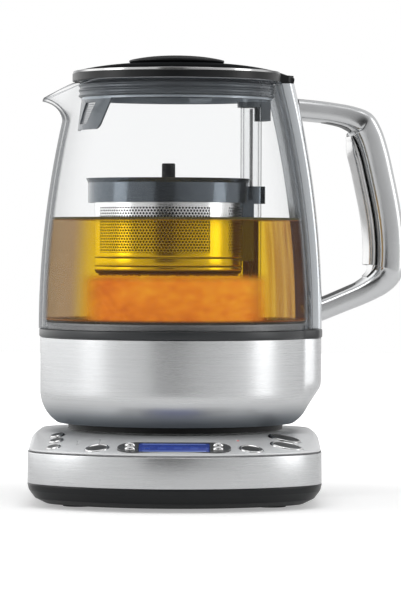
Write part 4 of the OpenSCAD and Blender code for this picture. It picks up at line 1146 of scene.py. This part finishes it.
# Points of its outer edge, in shares of the seal ring's radius and of the glass's height
HANDLE_EDGE = [Vector((x * (SHELL_R + RING_PROUD), z * GLASS_H)) for x, z in (
    (0.8229, 0.9439), (1.0474, 0.9343), (1.197, 0.9253), (1.3466, 0.9114), (1.4713, 0.8844),
    (1.5486, 0.8228), (1.6047, 0.7343), (1.6496, 0.6325), (1.6958, 0.5149), (1.7244, 0.4076),
    (1.7332, 0.3003), (1.7157, 0.2138), (1.6297, 0.1536), (1.4776, 0.108), (1.2718, 0.0637),
    (1.1222, 0.0318), (0.9726, 0.0028))]
GRIP_SHARE = [0, 0, 0, 0.25, 0.9, 1, 1, 1, 1, 1, 1, 1, 0.75, 0.2, 0, 0, 0]
ARM_W = 0.020
GRIP_W = 0.026
ARM_T = 0.0126
GRIP_T = 0.0176


def through(values, u):
    """A smooth curve through a list of values."""
    i = min(int(u), len(values) - 2)
    t = u - i
    a, b, c, d = (values[max(0, min(len(values) - 1, i + k))] for k in (-1, 0, 1, 2))
    bend = a - b * 2.5 + c * 2 - d / 2
    return b + (c - a) * (t / 2) + bend * t ** 2 + (b * 3 - a - c * 3 + d) * (t ** 3 / 2)


def edge_normal(u):
    last = len(HANDLE_EDGE) - 1
    run = through(HANDLE_EDGE, min(u + 0.05, last)) - through(HANDLE_EDGE, max(u - 0.05, 0))
    return Vector((-run.y, run.x)).normalized()


def grip_share(u, arm, grip):
    """A size that changes from the arms to the grip."""
    return arm + (grip - arm) * through(GRIP_SHARE, u)


def handle_ring(u, low, high, width, power, n=40):
    """A section of the handle between two depths below its outer edge."""
    spot = through(HANDLE_EDGE, u)
    out = edge_normal(u)
    middle = spot - out * ((low + high) / 2)
    ring = []
    for i in range(n):
        a = 2 * math.pi * i / n
        c, s = math.cos(a), math.sin(a)
        q = middle + out * ((high - low) / 2 * math.copysign(abs(c) ** power, c))
        ring.append((q.x, width / 2 * math.copysign(abs(s) ** power, s), q.y + GLASS_Z))
    return ring


handle_rings = []
HANDLE_START, HANDLE_END = 0.42, 15.55
for i in range(145):
    u = HANDLE_START + (HANDLE_END - HANDLE_START) * i / 144
    handle_rings.append(handle_ring(u, 0, grip_share(u, ARM_T, GRIP_T), grip_share(u, ARM_W, GRIP_W), 0.6))
handle = sheet_of("handle_dressed", handle_rings)
polished = Finish("polished handle", Metallic=1.0)
haze = polished.noise(26, detail=2)
hairs = polished.noise(1, (400, 400, 400), detail=3)
polished.surface(polished.blend(haze, grey(0.6, 0.012), grey(0.7, 0.012)), 0.22, (haze, 0.08), (hairs, 0.05))
polished.relief(hairs, 0.00001, 0.25)
seat(painted(turned(handle), polished), "jug", "handle_chrome", "handle")

INSERT_FROM, INSERT_TO = 4.05, 12.72
INSERT_T = 0.0046
insert_rings = []
for i in range(81):
    u = INSERT_FROM + (INSERT_TO - INSERT_FROM) * i / 80
    top = grip_share(u, ARM_T, GRIP_T) - 0.0001
    e = smooth(4.5 * i / 80) * smooth(4.5 * (1 - i / 80))
    width = (GRIP_W - 0.009) * (0.6 + 0.4 * e)
    insert_rings.append(handle_ring(u, top, top + 0.001 + (INSERT_T - 0.0009) * e, width, 0.6, 28))
insert = sheet_of("handle_insert_dressed", insert_rings)
insert_steel = plated("insert steel", 0.62, 0.2)
seat(painted(turned(insert), insert_steel), "jug", "insert_grey", "handle_insert")
coat(plated_steel, "handle_screws")

# On the inner side of both arms a dark strip stands for a shallow channel of the casting: it is painted shade
CHANNEL_W = 0.0115
painted_channel_shade = moulding("arm channel", 0.05, roughness=0.4, tint=0.05)
channels = []
for word, first, last in (("upper", 1.5, 3.3), ("lower", 13.2, 14.9)):
    rings = []
    for i in range(25):
        u = first + (last - first) * i / 24
        deep = grip_share(u, ARM_T, GRIP_T)
        wide = CHANNEL_W * math.sqrt(max(0.04, 1 - (2 * i / 24 - 1) ** 8))
        rings.append(handle_ring(u, deep - 0.0012, deep + 0.00022, wide, 0.55, 20))
    channels.append(painted(sheet_of(f"channel_{word}", rings), painted_channel_shade))
seat(turned(merged("handle_channels", *channels)), "jug", "insert_grey")


# ---- Basket ---------------------------------------------------------------
# The infuser is a cup of thin stainless sheet, punched all over with fine round holes but for
# three plain strips, and rolled into a grey collar that also holds the guide ring and magnets.

BASKET_X = -0.00475
CUP_R = 0.0434
CUP_WALL = 0.0006
cup_low, cup_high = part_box("basket_cup")
cup_z = cup_low.z
CUP_TOP = cup_z + 0.047
ZONE_LOW = cup_z + 0.0125
ZONE_HIGH = CUP_TOP - 0.0055
HOLE_PITCH = 0.0019
PANELS = 3
STRIP = math.radians(16)

ROW_SHARE = math.sqrt(3) / 2  # height of a row of holes, in shares of their pitch
bench = Bench("perforated_sheet", Radius=0.043, Pitch=0.0014, Columns=50, Rows=24, Hole_Share=0.6,
              Wall=0.0006, Start=0.0, Foot=0.14, Slant=0.0)
tile = bench.node("MeshCircle", {"fill_type": "NGON"}, {
    "Vertices": 6, "Radius": bench["Pitch"] / math.sqrt(3)})
pulled = bench.node("ExtrudeMesh", {"mode": "FACES"}, {"Mesh": tile, "Offset Scale": 0.0})
shrunk = bench.node("ScaleElements", {"domain": "FACE"}, {
    "Geometry": pulled, "Selection": pulled.other("Top"), "Scale": bench["Hole_Share"]})
opened = bench.node("DeleteGeometry", {"domain": "FACE"}, {
    "Geometry": shrunk, "Selection": pulled.other("Top")})
cell = bench.node("Transform", sockets={"Geometry": opened, "Rotation": (0, 0, math.pi / 6)})
field = bench.node("MeshGrid", sockets={
    "Vertices X": bench["Columns"], "Vertices Y": bench["Rows"], "Size X": 1.0, "Size Y": 1.0})
index = bench.node("InputIndex")
column = (index / bench["Rows"]).math("FLOOR")
row = index - column * bench["Rows"]
laid = bench.placed(field, (column + row.math("MODULO", 2.0) * 0.5) * bench["Pitch"],
                    row * (bench["Pitch"] * ROW_SHARE))
tiled = bench.node("InstanceOnPoints", sockets={"Points": laid, "Instance": cell})
sheet = bench.welded(bench.node("RealizeInstances", sockets={0: tiled}), bench["Pitch"] * 0.05)
raised = bench.node("ExtrudeMesh", {"mode": "FACES"}, {
    "Mesh": sheet, "Offset": (0, 0, 1), "Offset Scale": bench["Wall"], "Individual": False})
slab = bench.welded(bench.together(raised, bench.node("FlipFaces", sockets={"Mesh": sheet})), 1e-6)
spot = bench.node("ShaderNodeSeparateXYZ", sockets={0: bench.node("InputPosition")})
x, y, z = (spot.other(axis) for axis in "XYZ")
bow = bench["Start"] + x / bench["Radius"] + bench["Slant"] * y
reach = bench["Radius"] + z
perforated_sheet = bench.close(bench.placed(
    slab, reach * bow.math("COSINE"), reach * bow.math("SINE"), bench["Foot"] + y))


# Bright stainless outside, lightly brushed round the cup, and painted near black inside as shade
basket_steel = Finish("basket steel", Metallic=1.0)
ringed = basket_steel.noise(1, (40, 40, 2600), detail=3, roughness=0.6)
inside_mottle = basket_steel.noise(60, detail=3)
from_axis = basket_steel.axis("X") - BASKET_X * math.cos(JUG_TURN)
beside_axis = basket_steel.axis("Y") - BASKET_X * math.sin(JUG_TURN)
reach = (from_axis * from_axis + beside_axis * beside_axis) ** 0.5
outside = reach.rise(CUP_R - CUP_WALL * 0.6, CUP_R - CUP_WALL * 0.2)
below = 1 - basket_steel.axis("Z").rise(cup_z + 0.0002, cup_z + 0.0005)
outside = outside.math("MAXIMUM", below)
bright = basket_steel.blend(ringed, grey(0.7), grey(0.92))
# Painted shade: the inside of the cup is near black, with a slow mottle
painted_inside_shade = basket_steel.blend(inside_mottle, (0.012, 0.011, 0.009, 1), (0.04, 0.034, 0.026, 1))
basket_steel.set(Base_Color=basket_steel.blend(outside, painted_inside_shade, bright), Metallic=0.2 + 0.8 * outside,
                 Roughness=0.5 - 0.28 * outside + 0.12 * (ringed - 0.5))
basket_steel.relief(ringed, 0.00002, 0.3)
inner_r = CUP_R - CUP_WALL
panel_arc = 2 * math.pi / PANELS - STRIP
columns = int(panel_arc * inner_r / HOLE_PITCH)
rows = int((ZONE_HIGH - ZONE_LOW) / (HOLE_PITCH * ROW_SHARE))
zone_top = ZONE_LOW + (rows - 1) * HOLE_PITCH * ROW_SHARE + 0.0005
first_strip = math.radians(180)
cup_parts = []
for k in range(PANELS):
    middle_of_strip = first_strip + 2 * math.pi * k / PANELS
    cup_parts.append(grown(
        f"perforated_panel_{k}", perforated_sheet, basket_steel, Radius=inner_r + 0.00005, Pitch=HOLE_PITCH,
        Columns=columns, Rows=rows, Hole_Share=0.64, Wall=CUP_WALL - 0.0001,
        Start=middle_of_strip + STRIP / 2, Foot=ZONE_LOW))
    strip = lathe(f"plain_strip_{k}", [
        (inner_r, ZONE_LOW - 0.001), (CUP_R, ZONE_LOW - 0.001), (CUP_R, ZONE_HIGH + 0.001),
        (inner_r, ZONE_HIGH + 0.001)], parts=10, loop=True, start=middle_of_strip - STRIP / 2 - 0.045,
        sweep=STRIP + 0.063)
    reshaped(strip, lambda work: bmesh.ops.holes_fill(
        work, edges=[edge for edge in work.edges if edge.is_boundary]), outwards)
    cup_parts.append(painted(strip, basket_steel))
# Below the holes the sheet is plain, with two rolled grooves; above them it turns out to a flange
lower = rounded([
    (0, cup_z), (CUP_R - 0.003, cup_z), (CUP_R - 0.0009, cup_z + 0.0009), (CUP_R, cup_z + 0.003),
    (CUP_R, cup_z + 0.0043), (CUP_R - 0.0004, cup_z + 0.0048), (CUP_R, cup_z + 0.0053),
    (CUP_R, cup_z + 0.0093), (CUP_R - 0.0004, cup_z + 0.0098), (CUP_R, cup_z + 0.0103),
    (CUP_R, ZONE_LOW + 0.0002), (inner_r, ZONE_LOW + 0.0002), (inner_r, cup_z + 0.0032),
    (inner_r - 0.0023, cup_z + CUP_WALL), (0, cup_z + CUP_WALL)], 0.0002, steps=2)
cup_parts.append(painted(lathe("cup_bottom", lower), basket_steel))
upper = [(inner_r, zone_top), (CUP_R, zone_top), (CUP_R, CUP_TOP), (CUP_R, cup_high.z),
         (inner_r, cup_high.z)]
cup_parts.append(painted(lathe("cup_top", upper, loop=True), basket_steel))
# A near-black sleeve lies against the sheet's inside: painted shade behind the holes, so they look black
shade_sleeve_out, shade_sleeve_in = inner_r - 0.0003, inner_r - 0.0005
shade_sleeve = lathe("cup_shade_sleeve", [(shade_sleeve_out, cup_z + 0.004), (shade_sleeve_out, CUP_TOP), (shade_sleeve_in, CUP_TOP),
                            (shade_sleeve_in, cup_z + 0.004)], parts=120, loop=True)
shade_sleeve_black = Finish("dark fine mesh", Specular_IOR_Level=0.1)
sleeve_grain = shade_sleeve_black.noise(2400, detail=1)
shade_sleeve_black.surface(shade_sleeve_black.blend(sleeve_grain, grey(0.003), grey(0.012)), 0.7, (sleeve_grain, 0.2))
seat(painted(turned(shifted(shade_sleeve, (BASKET_X, 0, 0))), shade_sleeve_black), "basket", "basket_steel")
cup = merged("basket_cup_dressed", *cup_parts)
seat(turned(shifted(cup, (BASKET_X, 0, 0))), "basket", "basket_steel", "basket_cup")

collar_grey = Finish("collar grey", Metallic=0.8, IOR=1.5)
mist = collar_grey.noise(40, detail=2)
fleck = collar_grey.noise(1300, detail=1)
collar_grey.surface(collar_grey.blend(mist, grey(0.11, 0.14), grey(0.14, 0.14)), 0.13,
                    (mist, 0.06), (fleck, 0.06))
collar_grey.relief(fleck, 0.00003, 0.35)
dress("basket_collar", collar_grey, "collar_grey", crease=9)
coat(plated("magnet nickel", 0.55, 0.25), "carriage_magnets")
dress("basket_lid", collar_grey, "collar_grey", crease=30)

# The knob of the basket's lid is a straight moulded peg with a broken top edge
knob_low, knob_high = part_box("basket_knob")
KNOB_R = 0.00395
KNOB_H = knob_high.z - knob_low.z
peg_profile = rounded([(0, 0), (KNOB_R, 0), (KNOB_R, KNOB_H), (0, KNOB_H)], 0.0008)
peg = lathe("basket_knob_dressed", peg_profile, parts=48)
knob_black = moulding("knob black", 0.005, roughness=0.5, Specular_IOR_Level=0.2)
peg = painted(turned(shifted(peg, (BASKET_X, 0, knob_low.z))), knob_black)
seat(peg, "basket_cover", "knob_black", "basket_knob")


# Small bubbles and drops of tea hang in a ring under the cup's rounded foot
bench = Bench("hanging_drops", Smallest=0.0003, Largest=0.0009, Seed=4)
ball = bench.node("MeshIcoSphere", sockets={"Radius": 1.0, "Subdivisions": 2})
varied = bench.node("FunctionNodeRandomValue", {"data_type": "FLOAT"}, {
    2: bench["Smallest"], 3: bench["Largest"], "Seed": bench["Seed"]}, out=1)
hanging_drops = bench.close_on_points(ball, Scale=varied)
DROPS = 170
drop_spots = []
for k in range(DROPS):
    a = 2 * math.pi * k / DROPS + 0.011 * math.sin(7.3 * k)
    drop_spots.append(polar(CUP_R - 0.0031 + 0.0006 * math.sin(3.1 * k), a, cup_z - 0.0001))
drop_brown = Finish("tea drops", Roughness=0.12, IOR=1.33, Coat_Roughness=0.05)
drop_brown.set(Base_Color=drop_brown.blend(
    drop_brown.noise(900), (0.02, 0.012, 0.004, 1), (0.16, 0.08, 0.015, 1)))
beads = grown("tea_drops", hanging_drops, drop_brown, points_mesh("drop_spots", drop_spots),
              Smallest=0.0003, Largest=0.00085, Seed=4)
seat(turned(shifted(beads, (BASKET_X, 0, 0))), "basket", "clear_glass")


# ---- Lid ------------------------------------------------------------------
# The lid is a dark satin steel dome over a grey moulded skirt. A polished ring clamps the two to a
# black rim with a tab over the spine, and a low black disc with a crowned top serves as the knob.

trim_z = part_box("lid_trim_ring")[0].z
disc_low, disc_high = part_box("lid_knob")
TRIM_R = 0.0600
TRIM_H = 0.0015
TRIM_HOLE_R = 0.052
DISC_R = 0.028
DISC_DROP = 0.001
DOME_WALL = 0.0015
dome_r = TRIM_R - 0.0004
dome_foot = trim_z + TRIM_H
dome_h = disc_low.z - dome_foot - DISC_DROP
dome_profile = [(dome_r, dome_foot), (dome_r, dome_foot + 0.0001)]
for i in range(1, 25):
    x = dome_r * (1 - i / 24)
    dome_profile.append((x, dome_foot + dome_h * (1 - (x / dome_r) ** 3)))
under_r, under_h = dome_r - DOME_WALL, dome_h - DOME_WALL
dome_profile += [(0, dome_foot + under_h)]
for i in range(1, 13):
    x = under_r * i / 12
    dome_profile.append((x, dome_foot + under_h * (1 - (x / under_r) ** 3)))
dome = lathe("lid_cover_dressed", dome_profile, parts=180, loop=True)
dark_steel = Finish("dark satin steel", Metallic=1.0, Specular_Tint=grey(0.14, 0.05))
spun = dark_steel.noise(300, (1, 1, 1), detail=3)
dark_steel.surface(dark_steel.blend(spun, grey(0.06, 0.08), grey(0.085, 0.08)), 0.3, (spun, 0.1))
dark_steel.relief(spun, 0.00002, 0.25)
seat(painted(dome, dark_steel), "lid", "lid_dark", "lid_cover")

trim_out = TRIM_R + 0.0007
trim_profile = rounded([(TRIM_HOLE_R, 0), (trim_out, 0), (trim_out, TRIM_H), (TRIM_HOLE_R, TRIM_H)],
                       0.0003, closed=True)
trim = lathe("lid_trim_ring_dressed", trim_profile, parts=180, loop=True)
trim_chrome = Finish("trim chrome", Metallic=1.0)
wear = trim_chrome.noise(60, detail=2)
# Painted reflection: the polished ring is painted near black at its far left and right, where it turns away
painted_dark_sides = trim_chrome.axis("X").size().rise(0.05, 0.058)
chrome = trim_chrome.blend(wear, grey(0.55), grey(0.66))
trim_chrome.set(Base_Color=trim_chrome.blend(painted_dark_sides, chrome, grey(0.03, 0.1)), Roughness=0.1 + 0.08 * wear)
seat(painted(shifted(trim, (0, 0, trim_z)), trim_chrome), "lid", "trim_chrome", "lid_trim_ring")

rim_black = moulding("rim black", 0.005, roughness=0.32, tint=0.12, grain=1800, Specular_IOR_Level=0.3)
dress("lid_rim", rim_black, "rim_black")

# The rim's tab over the spine has a sloping back that runs up on the dome
TAB_HALF_W = 0.0105
# Radius and height of the corners of its side, some with a rounding of their own
TAB_SIDE = [(0.0475, 0.2490), (0.0686, 0.2455), (0.0692, 0.2484, 0.0006), (0.0615, 0.2509),
            (0.0545, 0.2527), (0.0475, 0.2540)]
tab_rings = []
for share, inset in ((-1, 0.0008), (-0.95, 0.0002), (-0.9, 0), (0.9, 0), (0.95, 0.0002), (1, 0.0008)):
    tab_rings.append([(r, share * TAB_HALF_W, z - inset)
                      for r, z in rounded(TAB_SIDE, 0.0004, steps=3, closed=True)])
tab = painted(sheet_of("lid_tab", tab_rings), rim_black)
seat(turned(tab), "lid", "rim_black")

disc_h = disc_high.z - disc_low.z
disc_profile = [(0, 0), (DISC_R - 0.0006, 0), (DISC_R, 0.0008), (DISC_R - 0.0002, 0.0016)]
for i in range(1, 17):
    x = (DISC_R - 0.0002) * (1 - i / 16)
    disc_profile.append((x, 0.0016 + (disc_h - 0.0016) * (1 - (x / DISC_R) ** 2.4)))
disc = lathe("lid_knob_dressed", disc_profile, parts=120)
disc_black = moulding("disc black", 0.006, roughness=0.4, tint=0.06, Specular_IOR_Level=0.2)
seat(painted(shifted(disc, (0, 0, disc_low.z - DISC_DROP)), disc_black), "lid", "knob_black", "lid_knob")

# The skirt's lower edge is paler between these heights: a painted highlight
SKIRT_HIGHLIGHT_TOP = (0.2378, 0.2386)
SKIRT_HIGHLIGHT_FOOT = (0.2338, 0.2342)
skirt_grey = Finish("skirt grey", Metallic=0.3, IOR=1.5)
drift = skirt_grey.noise(36, detail=2)
pores = skirt_grey.noise(1200, detail=1)
painted_edge_highlight = 1 - skirt_grey.axis("Z").rise(*SKIRT_HIGHLIGHT_TOP)
painted_edge_highlight = painted_edge_highlight * skirt_grey.axis("Z").rise(*SKIRT_HIGHLIGHT_FOOT)
skirt_tone = skirt_grey.blend(drift, grey(0.11, 0.12), grey(0.15, 0.12))
skirt_grey.surface(skirt_grey.blend(painted_edge_highlight, skirt_tone, grey(0.42, 0.1)), 0.22,
                   (drift, 0.12), (pores, 0.06))
skirt_grey.relief(pores, 0.00003, 0.3)
dress("lid_skirt", skirt_grey, "skirt_grey", crease=9)

# The silicone seal on the skirt has three soft lips that press against the glass
seal_low, seal_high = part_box("lid_seal")
SKIRT_R = 0.0574
LIP_R = SKIRT_R - 0.00135
lips = [(LIP_R, seal_low.z)]
for k in range(3):
    z = seal_low.z + 0.0004 + 0.003 * k
    lips += [(LIP_R + 0.0008, z), (LIP_R + 0.0017, z + 0.0009, 0.0004), (LIP_R + 0.0008, z + 0.0021)]
lips += [(LIP_R, seal_high.z)]
lip_seal = lathe("lid_seal_dressed", rounded(lips, 0.0003, closed=True), parts=180, loop=True)
silicone = moulding("grey silicone", 0.11, roughness=0.3, tint=0.1, grain=1500, Metallic=0.5)
seat(painted(lip_seal, silicone), "lid", "silicone_grey", "lid_seal")

head_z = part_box("lid_screws")[0].z + 0.0006
LID_SCREWS_R = 0.04
screws("lid_screws", "lid", [
    polar(LID_SCREWS_R, JUG_TURN + math.radians(a), head_z) for a in (60, 180, 300)],
    0.0024, 0.0012, 0.00115, 0.0092)


# ---- Spout filter ---------------------------------------------------------
# Behind the beak hangs a tapered flap of the skirt, which holds back leaves while tea is poured.
# Its window is a fine punched mesh; the frame round it is the same grey moulding.

flap_low, flap_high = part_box("spout_filter")
FLAP_R = SKIRT_R - 0.0028
FLAP_WALL = 0.0012
FLAP_FLARE = 0.0022
FLAP_CORNER = 0.003
WINDOW_HALF = math.radians(7)
WINDOW_PITCH = 0.0015
WINDOW_SIDE = math.radians(3)
window_low, window_high = flap_low.z + 0.0034, flap_low.z + 0.0158
WINDOW_SLANT = math.radians(9) / (window_high - window_low)


def flap_half(z):
    """Half of the flap's width at a height, in radians."""
    narrow = math.radians(24)
    lean = (z - flap_low.z) * math.tan(math.radians(26)) / FLAP_R
    below = max(0.0, 1 - (z - flap_low.z) / FLAP_CORNER)
    corner = FLAP_CORNER * (1 - math.sqrt(1 - below * below)) / FLAP_R
    return min(math.radians(36.5), narrow + lean) - corner


def window_middle(z):
    """The window leans from the flap's middle towards one side."""
    return math.pi + WINDOW_SIDE + WINDOW_SLANT * (min(max(z, window_low), window_high) - window_low)


step = (window_high - window_low) / 6
flap_heights = [(flap_low.z + z, 0) for z in (0, 0.0001, 0.0004, 0.0009, 0.0016, 0.0024, 0.0034)]
flap_heights += [(window_low + step * i, 1) for i in range(7)] + [(window_high, 0), (flap_high.z, 0)]
flap_parts = []
for side in (-1, 1):
    rings = []
    for z, opened_here in flap_heights:
        inner = window_middle(z) + side * WINDOW_HALF * opened_here
        outer = math.pi + side * flap_half(z)
        angles = [inner + (outer - inner) * k / 10 for k in range(11)]
        rings.append([polar(r, a, z) for r, order in ((FLAP_R, angles), (FLAP_R + FLAP_WALL, angles[::-1]))
                      for a in order])
    flap_parts.append(painted(sheet_of(f"flap_{side}", rings), skirt_grey))
mesh_columns = int(2 * WINDOW_HALF * FLAP_R / WINDOW_PITCH) + 1
mesh_rows = int((window_high - window_low) / (WINDOW_PITCH * ROW_SHARE)) + 1
window_mesh = grown("flap_window", perforated_sheet, skirt_grey, Radius=FLAP_R + 0.0003, Pitch=WINDOW_PITCH,
                    Columns=mesh_columns, Rows=mesh_rows, Hole_Share=0.79, Wall=0.00015,
                    Start=math.pi + WINDOW_SIDE - WINDOW_HALF, Foot=window_low, Slant=WINDOW_SLANT)
flap = merged("spout_filter_dressed", *flap_parts, window_mesh)
for point in flap.data.vertices:
    flare = 1 + FLAP_FLARE / FLAP_R * (flap_high.z - point.co.z) / (flap_high.z - flap_low.z)
    point.co.xy = point.co.xy * flare
seat(turned(flap), "lid", "filter_mesh", "spout_filter")


# ---- Table, light and camera ----------------------------------------------
# The part stands on a plain white table in a white studio: two tall soft lights at its sides, a
# soft light above, and a darker room in front of it that the bright metal picks up.

table = lathe("table", [(0, -0.0005), (2.6, -0.0005), (2.6, -0.02), (0, -0.02)], parts=64)
table_white = Finish("table white", Roughness=0.9, IOR=1.3)
speck = table_white.noise(3, detail=1)
far = (table_white.axis("X") ** 2 + table_white.axis("Y") ** 2) ** 0.5
table_white.set(Base_Color=table_white.blend(speck, grey(0.78), grey(0.8)), Emission_Color=(1, 1, 1, 1))
rays = table_white.node("LightPath", out="Is Camera Ray")
seen = rays + rays.other("Is Transmission Ray")
# The table's own glow is weaker near the middle: painted shade round the base, besides its real shadow
table_white.set(Emission_Strength=(0.36 + 0.64 * far.rise(0.13, 0.5)) * seen
                + 0.12 * rays.other("Is Glossy Ray"))
painted(table, table_white)

room = bpy.data.worlds.new("studio")
bpy.context.scene.world = room
room.use_nodes = True
air = Nodes(room.node_tree)
WHITE = (1, 1, 1, 1)
backdrop = air.node("Background", sockets={"Color": WHITE, "Strength": 1.0})
ambient = air.node("Background", sockets={"Color": WHITE, "Strength": 0.55})
split = air.node("SeparateXYZ", sockets={0: air.node("TexCoord", out="Generated")})
east, north, up = (split.other(axis) for axis in "XYZ")
turn = 0.5 + east.math("ARCTAN2", 0 - north) / (2 * math.pi)
# Brightness of the room by degrees to the right of the camera: soft boxes at the sides, and
# darkness where the camera stands
ROOM = [(-180, 0.15), (-173, 0.25), (-165, 1.4), (-150, 1.85), (-110, 2.0), (-84, 1.75), (-60, 1.15),
        (-22, 0.85), (-16, 0.06), (6, 0.05), (14, 0.45), (30, 0.62), (46, 0.85), (70, 1.1), (84, 1.2),
        (98, 1.05), (125, 1.0), (160, 0.95), (173, 0.9), (177, 0.2), (180, 0.15)]
around = air.node("ValToRGB", {"stops": [(0.5 + degrees / 360, (brightness / 2,) * 3)
                                         for degrees, brightness in ROOM]}, {0: turn})
high_up = up.rise(0.75, 0.95)
level = 2 * around * (1 - high_up) + 0.75 * high_up
studio = air.node("Background", sockets={"Strength": level})
rays = air.node("LightPath", out="Is Camera Ray")
shining = air.node("MixShader", sockets={0: rays.other("Is Glossy Ray"), 1: ambient, 2: studio})
shown = air.node("MixShader", sockets={
    0: rays + rays.other("Is Transmission Ray"), 1: shining, 2: backdrop})
air.tree.links.new(shown.socket, air.tree.nodes["World Output"].inputs["Surface"])


AIM = Vector((0, 0, 0.12))


def soft_light(name, place, size, power):
    light = bpy.data.lights.new(name, "AREA")
    light.shape = "RECTANGLE"
    light.size, light.size_y = size
    light.energy = power
    holder = linked(name, light)
    holder.location = place
    holder.rotation_euler = (AIM - Vector(place)).to_track_quat("-Z", "Y").to_euler()


soft_light("left_light", (-1.5, -0.5, 0.7), (0.7, 1.2), 5)
soft_light("right_light", (1.5, -0.3, 0.6), (0.6, 1.2), 4)
soft_light("top_light", (0.1, -0.5, 1.8), (1.4, 1.0), 9)

CAMERA_PLACE = Vector((0.0145, -2.0, 0.152))
CAMERA_PITCH = math.radians(-1.006)
CAMERA_ROLL = math.radians(0.23)
FOCAL_PX = 3400
PHOTO_HEIGHT_PX = 601
SENSOR = 36.0
lens_data = bpy.data.cameras.new("photo_camera")
lens_data.sensor_fit = "VERTICAL"
lens_data.sensor_height = SENSOR
lens_data.lens = SENSOR * FOCAL_PX / PHOTO_HEIGHT_PX
camera = linked("photo_camera", lens_data)
camera.matrix_world = (Matrix.Translation(CAMERA_PLACE) @ Matrix.Rotation(math.pi / 2 + CAMERA_PITCH, 4, "X")
                       @ Matrix.Rotation(CAMERA_ROLL, 4, "Z"))
bpy.context.scene.camera = camera
bpy.context.scene.view_settings.view_transform = "Standard"
